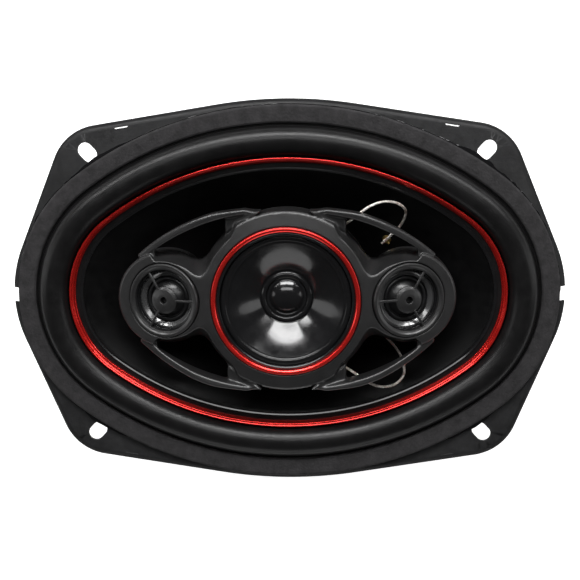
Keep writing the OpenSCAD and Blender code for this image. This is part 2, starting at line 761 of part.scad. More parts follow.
module capacitor(side, r, h) {
    translate([side * 23.4, 0, -4]) rotate([90, 0, 0]) rotate_extrude() polygon([
        [0, -h / 2], [r - 0.5, -h / 2], [r, 0.5 - h / 2], [r, h / 2 - 2], [r - 0.5, h / 2 - 1.6],
        [r, h / 2 - 1.2], [r, h / 2 - 0.4], [r - 0.4, h / 2], [0, h / 2]
    ]);
}

module midrange_capacitor() { color([0.1, 0.16, 0.3]) capacitor(-1, 3.9, 14); }
module tweeter_capacitor() { color([0.15, 0.2, 0.18]) capacitor(1, 3.5, 12); }

// ---------- tweeters: local z = 0 is the face, local z runs out along the tilted axis ----------

module guard(turn) {
    rotate_extrude() polygon([
        [13.1, -2], [15.5, -2], [15.5, 0.1], [15.1, 0.6], [14.5, 0.6], [14, 0.1], [13.1, -0.3]
    ]);
    for (a = [0, 120, 240]) rotate([0, 0, a + turn]) translate([5.2, -0.55, -1.4]) cube([8.4, 1.1, 1]);
    rotate_extrude() polygon([
        [1.45, -1.6], [5.5, -1.6], [5.8, -1.1], [5.6, -0.6], [4.4, -0.1], [2.6, 0.15], [1.45, 0.2]
    ]);
}

module tweeter_frame() {
    rotate_extrude() polygon([
        [12.4, -2], [15.5, -2], [15.5, -3.2], [13.4, -3.2], [13.4, -8], [9.5, -8], [9.5, -6.8],
        [12.4, -6.8]
    ]);
}

module face_ring() {
    rotate_extrude() polygon([
        [9.8, -5.2], [12.4, -5.2], [12.4, -3.4], [11.6, -3], [10.6, -3.4], [9.8, -4.2]
    ]);
}

module dome_surround() {
    rotate_extrude() {
        intersection() {
            translate([8.6, -5.2]) difference() {
                circle(r = 1);
                circle(r = 0.75);
            }
            translate([7, -5.2]) square([4, 3]);
        }
        polygon([[9.35, -5.2], [9.35, -5.5], [12.4, -5.5], [12.4, -5.2]]);
    }
}

module dome() {
    R = 10.2;
    translate([0, 0, -5.2]) rotate_extrude() difference() {
        intersection() {
            translate([0, 3 - R]) circle(r = R);
            square([7.55, 5]);
        }
        translate([0, 2.7 - R]) circle(r = R);
        translate([-20, -20]) square([20, 40]);
    }
}

module tweeter_coil() {
    translate([0, 0, -8.4]) difference() {
        cylinder(r = 7.5, h = 2.75);
        translate([0, 0, -1]) cylinder(r = 7.1, h = 6);
    }
}

module tweeter_pole_plate() {
    translate([0, 0, -7.4]) cylinder(r = 6.6, h = 1.6);
}

module tweeter_magnet() {
    translate([0, 0, -10.2]) cylinder(r = 6.4, h = 2.8);
}

module tweeter_yoke() {
    translate([0, 0, -11.6]) difference() {
        cylinder(r = 9.5, h = 6);
        translate([0, 0, 1.4]) cylinder(r = 8, h = 6);
    }
}

module left_tweeter_guard() { color([0.12, 0.12, 0.125]) pod_frame(-1) guard(0); }
module left_tweeter_frame() { color([0.05, 0.05, 0.055]) pod_frame(-1) tweeter_frame(); }
module left_tweeter_face_ring() { color([0.2, 0.2, 0.21]) pod_frame(-1) face_ring(); }
module left_tweeter_surround() { color([0.1, 0.1, 0.1]) pod_frame(-1) dome_surround(); }
module left_tweeter_dome() { color([0.15, 0.15, 0.16]) pod_frame(-1) dome(); }
module left_tweeter_coil() { color([0.75, 0.35, 0.15]) pod_frame(-1) tweeter_coil(); }
module left_tweeter_pole_plate() { color([0.6, 0.61, 0.63]) pod_frame(-1) tweeter_pole_plate(); }
module left_tweeter_magnet() { color([0.7, 0.7, 0.72]) pod_frame(-1) tweeter_magnet(); }
module left_tweeter_yoke() { color([0.6, 0.61, 0.63]) pod_frame(-1) tweeter_yoke(); }
module right_tweeter_guard() { color([0.12, 0.12, 0.125]) pod_frame(1) guard(60); }
module right_tweeter_frame() { color([0.05, 0.05, 0.055]) pod_frame(1) tweeter_frame(); }
module right_tweeter_face_ring() { color([0.2, 0.2, 0.21]) pod_frame(1) face_ring(); }
module right_tweeter_surround() { color([0.1, 0.1, 0.1]) pod_frame(1) dome_surround(); }
module right_tweeter_dome() { color([0.15, 0.15, 0.16]) pod_frame(1) dome(); }
module right_tweeter_coil() { color([0.75, 0.35, 0.15]) pod_frame(1) tweeter_coil(); }
module right_tweeter_pole_plate() { color([0.6, 0.61, 0.63]) pod_frame(1) tweeter_pole_plate(); }
module right_tweeter_magnet() { color([0.7, 0.7, 0.72]) pod_frame(1) tweeter_magnet(); }
module right_tweeter_yoke() { color([0.6, 0.61, 0.63]) pod_frame(1) tweeter_yoke(); }

basket_flange();
basket_legs();
basket_pan();
front_gasket();
woofer_surround();
cone_trim_ring();
woofer_cone();
woofer_coil_former();
woofer_coil_winding();
woofer_spider();
basket_rivets();
magnet_top_plate();
magnet_ring();
pole_yoke();
bridge_post();
post_washer();
post_nut();
terminal_board();
positive_terminal();
negative_terminal();
terminal_rivets();
positive_woofer_lead();
negative_woofer_lead();
cone_lead_eyelets();
positive_bridge_lead();
negative_bridge_lead();
bridge_housing();
bridge_rear_cover();
bridge_screws();
midrange_trim_ring();
midrange_frame();
midrange_surround();
midrange_cone();
midrange_dust_dome();
midrange_coil_former();
midrange_coil_winding();
midrange_spider();
midrange_top_plate();
midrange_magnet();
midrange_yoke();
midrange_capacitor();
tweeter_capacitor();
left_tweeter_guard();
left_tweeter_frame();
left_tweeter_face_ring();
left_tweeter_surround();
left_tweeter_dome();
left_tweeter_coil();
left_tweeter_pole_plate();
left_tweeter_magnet();
left_tweeter_yoke();
right_tweeter_guard();
right_tweeter_frame();
right_tweeter_face_ring();
right_tweeter_surround();
right_tweeter_dome();
right_tweeter_coil();
right_tweeter_pole_plate();
right_tweeter_magnet();
right_tweeter_yoke();
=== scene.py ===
"""Looks for an oval 6 x 9 inch coaxial car loudspeaker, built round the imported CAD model.

Lengths inside the shape code are millimetres and are scaled to metres when a mesh is made.
Z is the speaker axis, pointing out of the front; X is the long axis; Z = 0 is the flange's rear rim.
"""

import json
import math

import bmesh
import bpy
import numpy as np
from mathutils import Matrix, Vector
from mathutils.geometry import delaunay_2d_cdt


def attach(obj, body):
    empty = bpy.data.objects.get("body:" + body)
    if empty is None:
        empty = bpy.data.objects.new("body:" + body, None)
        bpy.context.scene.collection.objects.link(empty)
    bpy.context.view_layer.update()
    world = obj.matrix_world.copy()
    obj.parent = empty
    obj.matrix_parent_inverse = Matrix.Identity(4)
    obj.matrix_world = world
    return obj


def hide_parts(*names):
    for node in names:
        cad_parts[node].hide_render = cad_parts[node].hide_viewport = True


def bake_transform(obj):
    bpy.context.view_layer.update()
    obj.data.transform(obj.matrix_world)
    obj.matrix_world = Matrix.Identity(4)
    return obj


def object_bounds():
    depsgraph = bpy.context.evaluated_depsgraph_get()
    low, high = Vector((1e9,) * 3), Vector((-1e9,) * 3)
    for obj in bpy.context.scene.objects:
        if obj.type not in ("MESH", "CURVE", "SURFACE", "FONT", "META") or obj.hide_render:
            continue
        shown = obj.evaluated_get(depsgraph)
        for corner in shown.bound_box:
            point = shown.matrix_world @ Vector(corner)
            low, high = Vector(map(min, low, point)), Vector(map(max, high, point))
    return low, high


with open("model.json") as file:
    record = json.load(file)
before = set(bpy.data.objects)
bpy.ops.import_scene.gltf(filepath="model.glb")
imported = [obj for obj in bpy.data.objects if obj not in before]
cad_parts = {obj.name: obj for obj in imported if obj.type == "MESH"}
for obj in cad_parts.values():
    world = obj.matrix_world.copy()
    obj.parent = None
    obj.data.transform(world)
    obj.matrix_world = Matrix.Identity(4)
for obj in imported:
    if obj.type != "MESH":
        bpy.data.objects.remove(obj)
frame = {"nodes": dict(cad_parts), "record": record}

MM = 0.001
CAD_LO, CAD_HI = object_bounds()
STILL = "speaker_frame"
WOOFER = "woofer_moving"
MID = "midrange_moving"
SLOT_OF = {part["node"]: part["material_slot"] for part in frame["record"]["subparts"]}


# ---- materials

def add(tree, kind, sockets=(), **settings):
    """Adds a node. sockets gives inputs a value, or a link where the value is another node's output."""
    made = tree.nodes.new("ShaderNode" + kind)
    for key, value in settings.items():
        setattr(made, key, value)
    for key, value in dict(sockets).items():
        if isinstance(value, bpy.types.NodeSocket):
            tree.links.new(value, made.inputs[key])
        else:
            made.inputs[key].default_value = value
    return made


def brighter(colour, share):
    """Colour scaled by 1 + share, with no channel above 1."""
    return tuple(min(1.0, c * (1 + share)) for c in colour)


def material(name, colour, rough, metal=0.0, spec=0.5, coat=0.0, coat_rough=0.08, sheen=0.0,
             tone=0.25, tone_mm=9.0, rough_var=0.08, rough_mm=4.0, grain_mm=0.35, grain=0.25,
             depth_mm=0.03, pebble_mm=0.0, pebble=0.4, wear=0.0, wear_colour=(0.2, 0.2, 0.2),
             dust=0.0, dust_colour=(0.12, 0.12, 0.12), brushed=None, weave_mm=0.0, tint=None):
    """Procedural finish: drifting tone and roughness, grain in relief, worn edges and settled dust."""
    made = bpy.data.materials.new(name)
    made.use_nodes = True
    tree = made.node_tree
    tree.nodes.clear()
    shader = add(tree, "BsdfPrincipled", {
        "Metallic": metal, "Specular IOR Level": spec, "Coat Weight": coat, "Coat Roughness": coat_rough})
    add(tree, "OutputMaterial", {0: shader.outputs[0]})
    if sheen:
        shader.inputs["Sheen Weight"].default_value = sheen
        shader.inputs["Sheen Roughness"].default_value = 0.45
    place = add(tree, "TexCoord").outputs["Object"]
    fine_place = place
    if brushed is not None:
        fine_place = add(tree, "Mapping", {0: place, "Scale": brushed}).outputs[0]

    def noise(scale_mm, detail=3.0, source=place, rough_amount=0.55):
        return add(tree, "TexNoise", {"Scale": 1000.0 / scale_mm, "Detail": detail,
                                      "Roughness": rough_amount, "Vector": source}).outputs[0]

    def remap(value, low, high, start=0.3, end=0.7):
        return add(tree, "MapRange", {0: value, "From Min": start, "From Max": end,
                                      "To Min": low, "To Max": high}).outputs[0]

    def product(first, second):
        return add(tree, "Math", {0: first, 1: second}, operation="MULTIPLY").outputs[0]

    def blend_colour(factor, first, second):
        ends = [(*c, 1) if isinstance(c, tuple) else c for c in (first, second)]
        return add(tree, "Mix", {0: factor, 6: ends[0], 7: ends[1]}, data_type="RGBA").outputs[2]

    def mix(factor, first, second):
        return add(tree, "Mix", {0: factor, 2: first, 3: second}).outputs[0]

    dark = tuple(c * (1 - tone) for c in colour)
    base = blend_colour(remap(noise(tone_mm, 4), 0, 1), dark, brighter(tint or colour, tone))
    speck = remap(noise(grain_mm * 1.6, 2, fine_place), 0, 0.5, 0.45, 0.75)
    base = blend_colour(speck, base, brighter(colour, 1.6 * tone))
    if dust:
        up = add(tree, "SeparateXYZ", {0: add(tree, "NewGeometry").outputs["Normal"]}).outputs[2]
        patchy = remap(noise(1.4, 6, place, 0.7), 0, dust, 0.55, 0.8)
        base = blend_colour(product(remap(up, 0, 1, 0.3, 1.0), patchy), base, dust_colour)
    if wear:
        edge = remap(add(tree, "NewGeometry").outputs["Pointiness"], 0.0, wear, 0.53, 0.62)
        broken = remap(noise(2.2, 5), 0.2, 1.0, 0.35, 0.65)
        base = blend_colour(product(edge, broken), base, wear_colour)
    tree.links.new(base, shader.inputs["Base Color"])
    drift = noise(rough_mm, 5, fine_place)
    drift = remap(drift, max(0.02, rough - rough_var), min(1.0, rough + rough_var))
    tree.links.new(drift, shader.inputs["Roughness"])

    height = noise(grain_mm, 3, fine_place)
    if pebble_mm:
        cells = add(tree, "TexVoronoi", {"Scale": 1000.0 / pebble_mm, "Vector": fine_place},
                    feature="SMOOTH_F1")
        height = mix(pebble, height, cells.outputs[0])
    if weave_mm:
        for direction in ("X", "Y"):
            threads = add(tree, "TexWave", {
                "Scale": 1000.0 / weave_mm / math.pi, "Distortion": 0.6, "Vector": place},
                bands_direction=direction)
            height = mix(0.5, height, threads.outputs[1])
    relief = add(tree, "Bump", {"Strength": grain, "Distance": depth_mm * MM, "Height": height})
    tree.links.new(relief.outputs[0], shader.inputs["Normal"])
    if coat:
        wave = add(tree, "Bump", {"Strength": 0.12, "Distance": 0.01 * MM, "Height": noise(3.0, 2)})
        tree.links.new(wave.outputs[0], shader.inputs["Coat Normal"])
    return made


GREY_DUST = (0.12, 0.118, 0.115)
LOOKS = {
    "black_steel": dict(
        colour=(0.011, 0.011, 0.0115), rough=0.50, spec=0.35, tone=0.35, tone_mm=14, grain_mm=0.75,
        grain=0.8, depth_mm=0.09, wear=0.15, wear_colour=(0.06, 0.06, 0.062), dust=0.05,
        dust_colour=GREY_DUST),
    "gasket_foam": dict(
        colour=(0.019, 0.018, 0.019), rough=0.86, spec=0.35, tone=0.42, tone_mm=5, rough_var=0.05,
        grain_mm=0.8, grain=1.0, depth_mm=0.24, pebble_mm=1.0, pebble=0.5, dust=0.12,
        dust_colour=GREY_DUST),
    "surround_rubber": dict(
        colour=(0.0060, 0.0058, 0.0060), rough=0.33, spec=0.28, tone=0.22, tone_mm=8, rough_var=0.05,
        grain_mm=0.5, grain=0.8, depth_mm=0.06, pebble_mm=0.55, pebble=0.6, dust=0.03),
    "red_trim": dict(
        colour=(0.80, 0.022, 0.018), rough=0.22, metal=0.8, spec=0.6, coat=0.5, coat_rough=0.12,
        rough_var=0.03, tone=0.08, tone_mm=6, grain_mm=0.3, grain=0.05, depth_mm=0.012,
        tint=(0.88, 0.030, 0.022), dust=0.02, dust_colour=(0.5, 0.1, 0.08)),
    "cone_poly": dict(
        colour=(0.0014, 0.0014, 0.0015), rough=0.46, spec=0.14, tone=0.25, tone_mm=11, grain_mm=0.5,
        grain=0.3, depth_mm=0.03, dust=0.01, dust_colour=(0.03, 0.03, 0.03)),
    "coil_former": dict(colour=(0.42, 0.24, 0.07), rough=0.4, tone=0.18, grain_mm=0.5, grain=0.2),
    "copper": dict(
        colour=(0.55, 0.19, 0.07), rough=0.32, metal=1.0, tone=0.15, grain_mm=0.3, grain=0.5,
        depth_mm=0.06, brushed=(0.05, 0.05, 1.0)),
    "spider_cloth": dict(
        colour=(0.36, 0.21, 0.06), rough=0.88, spec=0.25, tone=0.2, tone_mm=6, grain_mm=0.4, grain=0.8,
        depth_mm=0.2, weave_mm=0.8, sheen=0.1),
    "zinc_steel": dict(
        colour=(0.50, 0.50, 0.49), rough=0.34, metal=1.0, tone=0.12, tone_mm=12, rough_var=0.1,
        grain_mm=0.3, grain=0.3, depth_mm=0.02, tint=(0.54, 0.51, 0.42)),
    "ferrite": dict(
        colour=(0.035, 0.035, 0.037), rough=0.62, spec=0.4, tone=0.25, tone_mm=7, grain_mm=0.6,
        grain=0.7, depth_mm=0.08, pebble_mm=1.2, pebble=0.4, wear=0.5, wear_colour=(0.12, 0.12, 0.12)),
    "fibre_board": dict(
        colour=(0.075, 0.035, 0.014), rough=0.6, tone=0.25, tone_mm=3, grain_mm=0.3, grain=0.4,
        brushed=(1.0, 0.15, 1.0)),
    "brass": dict(colour=(0.62, 0.43, 0.15), rough=0.3, metal=1.0, tone=0.12, grain_mm=0.3, grain=0.25),
    "tinned_brass": dict(
        colour=(0.58, 0.57, 0.55), rough=0.32, metal=1.0, tone=0.12, grain_mm=0.3, grain=0.25),
    "tinsel": dict(
        colour=(0.80, 0.66, 0.56), rough=0.36, metal=1.0, tone=0.35, tone_mm=1.2, grain_mm=0.12,
        grain=0.5, depth_mm=0.03, tint=(0.92, 0.88, 0.84)),
    "bridge_plastic": dict(
        colour=(0.0120, 0.0118, 0.0121), rough=0.42, coat=0.4, coat_rough=0.17, tone=0.3,
        tone_mm=10, rough_var=0.05, grain_mm=0.5, grain=0.8, depth_mm=0.06, pebble_mm=0.5, pebble=0.35,
        wear=0.1, wear_colour=(0.05, 0.05, 0.052), dust=0.03),
    "gloss_black": dict(
        colour=(0.0065, 0.0065, 0.007), rough=0.15, coat=0.2, coat_rough=0.07, tone=0.2,
        grain_mm=1.2, grain=0.12, depth_mm=0.02, rough_var=0.04, dust=0.02,
        dust_colour=(0.08, 0.08, 0.08)),
    "capacitor_sleeve": dict(
        colour=(0.02, 0.035, 0.09), rough=0.28, coat=0.3, tone=0.15, grain_mm=0.6, grain=0.15),
    "tweeter_ring": dict(
        colour=(0.040, 0.040, 0.041), rough=0.22, spec=0.9, coat=0.9, tone=0.15, grain_mm=0.5,
        grain=0.15, depth_mm=0.02),
    "tweeter_film": dict(
        colour=(0.006, 0.006, 0.0065), rough=0.34, spec=0.4, coat=0.1, tone=0.15, grain_mm=0.8,
        grain=0.15, depth_mm=0.02),
    "neodymium": dict(
        colour=(0.60, 0.60, 0.59), rough=0.2, metal=1.0, tone=0.1, grain_mm=0.5, grain=0.15),
}
MAT = {name: material(name, **look) for name, look in LOOKS.items()}


# The turned-down edge of the steel is duller than its flat face.
steel = MAT["black_steel"].node_tree
height = add(steel, "SeparateXYZ", {0: add(steel, "TexCoord").outputs["Object"]}).outputs[2]
fade = add(steel, "MapRange", {
    0: height, "From Min": 2.3 * MM, "From Max": 2.95 * MM, "To Min": 0.03, "To Max": 0.35})
steel.links.new(fade.outputs[0], steel.nodes["Principled BSDF"].inputs["Specular IOR Level"])


# ---- shapes

def rounded(points, radius, steps=4, closed=True):
    """Rounds the corners of a section. A point may carry its own radius as a third number."""
    n = len(points)
    out = []
    for i, p in enumerate(points):
        r = p[2] if len(p) > 2 else radius
        p = np.array(p[:2], float)
        if (not closed and i in (0, n - 1)) or r <= 0 or p[0] <= 1e-6:
            out.append(p)
            continue
        a = np.array(points[i - 1][:2], float) - p
        b = np.array(points[(i + 1) % n][:2], float) - p
        la, lb = np.hypot(*a), np.hypot(*b)
        if la < 1e-6 or lb < 1e-6:
            out.append(p)
            continue
        a, b = a / la, b / lb
        turn = math.acos(max(-1, min(1, float(a @ b))))
        if turn > math.pi - 0.05:
            out.append(p)
            continue
        back = min(r / math.tan(turn / 2), 0.45 * la, 0.45 * lb)
        for k in range(steps + 1):
            s = k / steps
            out.append(p + a * back * (1 - s) ** 2 + b * back * s ** 2)
    return np.array(out)


def curve_through(points, per=6):
    """Smooth open curve through points."""
    p = [np.array(q, float) for q in points]
    out = []
    for i in range(len(p) - 1):
        a, b = p[i], p[i + 1]
        ta = (b - p[max(i - 1, 0)]) / 6
        tb = (p[min(i + 2, len(p) - 1)] - a) / 6
        for s in np.arange(per) / per:
            ends = a * (1 - s) ** 3 + b * s ** 3
            out.append(ends + (a + ta) * 3 * s * (1 - s) ** 2 + (b - tb) * 3 * s * s * (1 - s))
    out.append(p[-1])
    return np.array(out)


def arch(middle, height, half_width, rise, steps, skip=0):
    """Points over a half oval from left to right, without the outermost ones on each side if skip is 1."""
    turns = [math.pi * (1 - k / steps) for k in range(skip, steps + 1 - skip)]
    return [(middle + half_width * math.cos(a), height + rise * math.sin(a)) for a in turns]


def sheet(line, half):
    """Closed section of a thin sheet from its middle line and half its thickness."""
    line = np.array(line)
    along = np.gradient(line, axis=0)
    across = np.stack([-along[:, 1], along[:, 0]], -1) / np.linalg.norm(along, axis=1)[:, None]
    return np.concatenate([line + across * half, (line - across * half)[::-1]])


def grid_faces(n, m, wrap_n=True, wrap_m=True):
    """Quads over n rows of m points, joined up in a row direction where wrapped."""
    faces = []
    for i in range(n if wrap_n else n - 1):
        for j in range(m if wrap_m else m - 1):
            a, b = i * m + j, i * m + (j + 1) % m
            c, d = ((i + 1) % n) * m + (j + 1) % m, ((i + 1) % n) * m + j
            faces.append((a, b, c, d))
    return faces


def capped_faces(n, m):
    """Quads round n rings of m points, with the first and the last ring closed."""
    return grid_faces(n, m, False) + [tuple(range(m)), tuple(range((n - 1) * m, n * m))]


def lathe(section, seg=128, wrap=True):
    """Turns a closed (radius, z) section about the axis."""
    section = np.asarray(section, float)
    t = np.linspace(0, 2 * math.pi, seg, endpoint=False)
    v = np.stack([
        np.outer(np.cos(t), section[:, 0]), np.outer(np.sin(t), section[:, 0]),
        np.tile(section[:, 1], (seg, 1))], -1).reshape(-1, 3)
    return v, grid_faces(seg, len(section), True, wrap)


# Every oval has end arcs about (END_AT, 0), side arcs about (0, -SIDE_AT) and their mirror images.
# The arcs meet in the direction MEET, and the half width is SPAN less than the half length.
SPAN, END_AT, SIDE_AT = 35.0, 52.5, 70.0
MEET = math.atan2(SIDE_AT, END_AT)


def oval_stations(end=60, side=44):
    """Centre, offset and outward direction of each station on a four-centred oval."""
    rows = []
    for flip in (0, math.pi):
        for k in range(end):
            a = -MEET + 2 * MEET * k / end
            rows.append((flip, END_AT, 0.0, END_AT, a))
        for k in range(side):
            a = MEET + (math.pi - 2 * MEET) * k / side
            rows.append((flip, 0.0, -SIDE_AT, SPAN - SIDE_AT, a))
    c, off, u = [], [], []
    for flip, x, y, o, a in rows:
        q = np.array([[math.cos(flip), -math.sin(flip)], [math.sin(flip), math.cos(flip)]])
        c.append(q @ (x, y))
        off.append(o)
        u.append(q @ (math.cos(a), math.sin(a)))
    return np.array(c), np.array(off), np.array(u)


OVAL = oval_stations()


def oval_line(half_length, stations=OVAL):
    """Points of an oval whose half length is one number, or one number per station."""
    centre, offset, outward = stations
    return centre + (half_length - offset)[:, None] * outward


def oval_sweep(section):
    """Sweeps a closed (half length, z) section round the oval."""
    section = np.asarray(section, float)
    c, off, u = OVAL
    r = section[None, :, 0] - off[:, None]
    xy = c[:, None, :] + r[..., None] * u[:, None, :]
    z = np.tile(section[:, 1], (len(c), 1))[..., None]
    return np.concatenate([xy, z], -1).reshape(-1, 3), grid_faces(len(c), len(section))


def oval_r(x, t):
    """Distance from the axis to the oval of half length x, in direction t (radians)."""
    c, s = np.abs(np.cos(t)), np.abs(np.sin(t))
    r1, r2 = x - END_AT, x - SPAN + SIDE_AT
    px, py = END_AT + r1 * math.cos(MEET), r1 * math.sin(MEET)
    end = END_AT * c + np.sqrt(np.maximum(r1 * r1 - END_AT * END_AT * s * s, 0))
    side = np.sqrt(np.maximum(r2 * r2 - SIDE_AT * SIDE_AT * c * c, 0)) - SIDE_AT * s
    return np.where(s * px < c * py, end, side)


def box_mesh(lo, hi, r=0.2, steps=2):
    """Box with rounded edges."""
    b = bmesh.new()
    bmesh.ops.create_cube(b, size=1)
    lo, hi = np.array(lo, float), np.array(hi, float)
    for v in b.verts:
        v.co = Vector(((lo + hi) / 2 + np.array(v.co) * (hi - lo)).tolist())
    bmesh.ops.bevel(b, geom=b.edges[:], offset=r, segments=steps, profile=0.5, affect="EDGES")
    b.verts.ensure_lookup_table()
    v = np.array([x.co[:] for x in b.verts])
    f = [tuple(x.index for x in face.verts) for face in b.faces]
    b.free()
    return v, f


def moved(part, matrix):
    """A (points, faces) part after a 4 x 4 transform."""
    v, f = part
    return v @ matrix[:3, :3].T + matrix[:3, 3], f


def make(name, parts, slot, body=STILL, replaces=(), sharp=38.0, normals=None, fix=True):
    """One object from several (points, faces) parts, riding on a body."""
    if isinstance(parts, tuple):
        parts = [parts]
    points, quads, base = [], [], 0
    for v, f in parts:
        points.append(np.asarray(v, float))
        quads.extend(tuple(i + base for i in q) for q in f)
        base += len(v)
    mesh = bpy.data.meshes.new(name)
    mesh.from_pydata((np.concatenate(points) * MM).tolist(), [], quads)
    if fix:
        work = bmesh.new()
        work.from_mesh(mesh)
        bmesh.ops.remove_doubles(work, verts=work.verts[:], dist=2e-6)
        bmesh.ops.dissolve_degenerate(work, edges=work.edges[:], dist=1e-7)
        bmesh.ops.recalc_face_normals(work, faces=work.faces[:])
        work.to_mesh(mesh)
        work.free()
    mesh.polygons.foreach_set("use_smooth", [True] * len(mesh.polygons))
    if sharp:
        mesh.set_sharp_from_angle(angle=math.radians(sharp))
    if normals is not None:
        mesh.normals_split_custom_set_from_vertices(normals.tolist())
    mesh.materials.append(MAT[slot])
    piece = bpy.data.objects.new(name, mesh)
    bpy.context.scene.collection.objects.link(piece)
    if body:
        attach(piece, body)
    if replaces:
        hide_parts(*replaces)
    return piece


def follow(piece, weights):
    """Bakes a finished mesh's transform into its points. The weights, one per point, are not used."""
    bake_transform(piece)


def follow_round(piece, outer, inner):
    """Weights for a round sheet, 0 on the still frame outside one radius and 1 inside another, handed to
    follow, which only bakes the transform.
    """
    p = coords(piece)
    follow(piece, ease((outer - np.hypot(p[:, 0], p[:, 1])) / (outer - inner)))


def ease(x):
    """Smooth step from 0 to 1."""
    x = np.clip(x, 0, 1)
    return x * x * (3 - 2 * x)


def coords(piece):
    """An object's points in millimetres."""
    v = np.empty(len(piece.data.vertices) * 3)
    piece.data.vertices.foreach_get("co", v)
    return v.reshape(-1, 3) / MM


def trimmed_surface(values, place):
    """Cells of a wrapped grid where values > 0, cut along the zero line. place gives the points."""
    nu, nv = values.shape
    keep, where, faces = {}, [], []

    def node(i, j):
        k = ("n", i % nu, j)
        if k not in keep:
            keep[k] = len(where)
            where.append((float(i % nu), float(j)))
        return keep[k]

    def cut(i0, j0, i1, j1):
        a, b = (i0 % nu, j0), (i1 % nu, j1)
        k = ("e", *sorted((a, b)))
        if k not in keep:
            s = values[a] / (values[a] - values[b])
            s = min(0.94, max(0.06, s))
            keep[k] = len(where)
            where.append((i0 + (i1 - i0) * s, j0 + (j1 - j0) * s))
        return keep[k]

    for i in range(nu):
        for j in range(nv - 1):
            c = [(i, j), (i + 1, j), (i + 1, j + 1), (i, j + 1)]
            s = [values[p[0] % nu, p[1]] > 0 for p in c]
            if not any(s):
                continue
            loop = []
            for k in range(4):
                if s[k]:
                    loop.append(node(*c[k]))
                if s[k] != s[(k + 1) % 4]:
                    loop.append(cut(*c[k], *c[(k + 1) % 4]))
            if len(loop) > 2:
                faces.append(tuple(loop))
    where = np.array(where)
    return place(where[:, 0], where[:, 1]), faces


def surface_net(fn, lo, hi, step):
    """Mesh of the surface fn = 0 (inside is negative), settled onto it, with its normals."""
    axes = [np.arange(a, b + step, step) for a, b in zip(lo, hi)]
    field = fn(*np.meshgrid(*axes, indexing="ij")).astype(np.float32)
    within = field < 0
    n = np.array(field.shape)
    count = np.zeros(n - 1, np.int8)
    corners = [(i, j, k) for i in (0, 1) for j in (0, 1) for k in (0, 1)]
    for i, j, k in corners:
        count += within[i:n[0] - 1 + i, j:n[1] - 1 + j, k:n[2] - 1 + k]
    active = (count > 0) & (count < 8)
    at = np.argwhere(active)
    index = np.full(n - 1, -1, np.int64)
    index[active] = np.arange(len(at))
    total, hits = np.zeros((len(at), 3)), np.zeros(len(at))
    for a in corners:
        for axis in range(3):
            if a[axis]:
                continue
            b = list(a)
            b[axis] = 1
            fa = field[tuple((at + a).T)]
            fb = field[tuple((at + b).T)]
            crossing = (fa < 0) != (fb < 0)
            s = np.where(crossing, fa / np.where(crossing, fa - fb, 1), 0)
            p = np.array(a, float)[None] + s[:, None] * (np.array(b, float) - np.array(a, float))[None]
            total += p * crossing[:, None]
            hits += crossing
    v = np.array(lo) + (at + total / hits[:, None]) * step
    faces = []
    for axis in range(3):
        o1, o2 = (axis + 1) % 3, (axis + 2) % 3
        first = [slice(None)] * 3
        second = [slice(None)] * 3
        first[axis], second[axis] = slice(0, -1), slice(1, None)
        e = np.argwhere(within[tuple(first)] != within[tuple(second)])
        e = e[(e[:, o1] > 0) & (e[:, o2] > 0) & (e[:, o1] < n[o1] - 1) & (e[:, o2] < n[o2] - 1)]
        quads = []
        for d1, d2 in ((1, 1), (0, 1), (0, 0), (1, 0)):
            c = e.copy()
            c[:, o1] -= d1
            c[:, o2] -= d2
            quads.append(index[tuple(c.T)])
        q = np.stack(quads, 1)
        q = np.where(within[tuple(e.T)][:, None], q, q[:, ::-1])
        faces.append(q)
    faces = np.concatenate(faces)

    def slope(p, h=0.03):
        g = np.empty_like(p)
        for axis in range(3):
            d = np.zeros(3)
            d[axis] = h
            g[:, axis] = (fn(*(p + d).T) - fn(*(p - d).T)) / (2 * h)
        return g

    for _ in range(3):
        g = slope(v)
        v = v - np.clip(fn(*v.T) / np.maximum((g * g).sum(1), 0.2), -step, step)[:, None] * g
    g = slope(v)
    return v, faces, g / np.maximum(np.linalg.norm(g, axis=1), 1e-9)[:, None]


# ---- basket

# Height of the flange's front, thickness of the sheet and outer radius of its turned-down edge; half length
# of the opening; half width of the gap in the edge at each end.
FLANGE_TOP, STEEL, BEND = 3.0, 1.2, 2.7
FLANGE_BACK = FLANGE_TOP - STEEL
OPENING = 105.0
NOTCH = 3.2

# The flange's edge is an arc at each end, an arc along each side and an arc at each corner. The corner's
# centre is where an arc of its radius touches the end arc at END_TURN and the side arc at SIDE_TURN.
END_R, END_C, END_TURN = 52.0, (66.0, 0.0), math.radians(22.5)
SIDE_R, SIDE_C, SIDE_TURN = 185.0, (0.0, -102.6), math.radians(81.0)
CORNER_R = 22.0
END_REACH = END_C[0] * math.cos(END_TURN) + END_R - CORNER_R
SIDE_REACH = SIDE_C[1] * math.sin(SIDE_TURN) + SIDE_R - CORNER_R
BETWEEN = math.sin(SIDE_TURN - END_TURN)
CORNER_C = ((END_REACH * math.sin(SIDE_TURN) - SIDE_REACH * math.sin(END_TURN)) / BETWEEN,
            (SIDE_REACH * math.cos(END_TURN) - END_REACH * math.cos(SIDE_TURN)) / BETWEEN)


def outline_quarter():
    """Points and outward directions of the flange edge from the +X end to the +Y side."""
    rows = []
    arcs = ((END_C, END_R, 0, END_TURN, 14), (CORNER_C, CORNER_R, END_TURN, SIDE_TURN, 18),
            (SIDE_C, SIDE_R, SIDE_TURN, math.pi / 2, 18))
    for c, r, a0, a1, n in arcs:
        for k in range(n + 1):
            a = a0 + (a1 - a0) * k / n
            rows.append((c[0] + r * math.cos(a), c[1] + r * math.sin(a), math.cos(a), math.sin(a)))
    return np.array(rows)


def outline_half():
    """The +Y half of the edge, from the +X end to the -X end."""
    q = outline_quarter()
    m = q[::-1] * np.array([-1, 1, -1, 1])
    return np.concatenate([q, m[1:]])


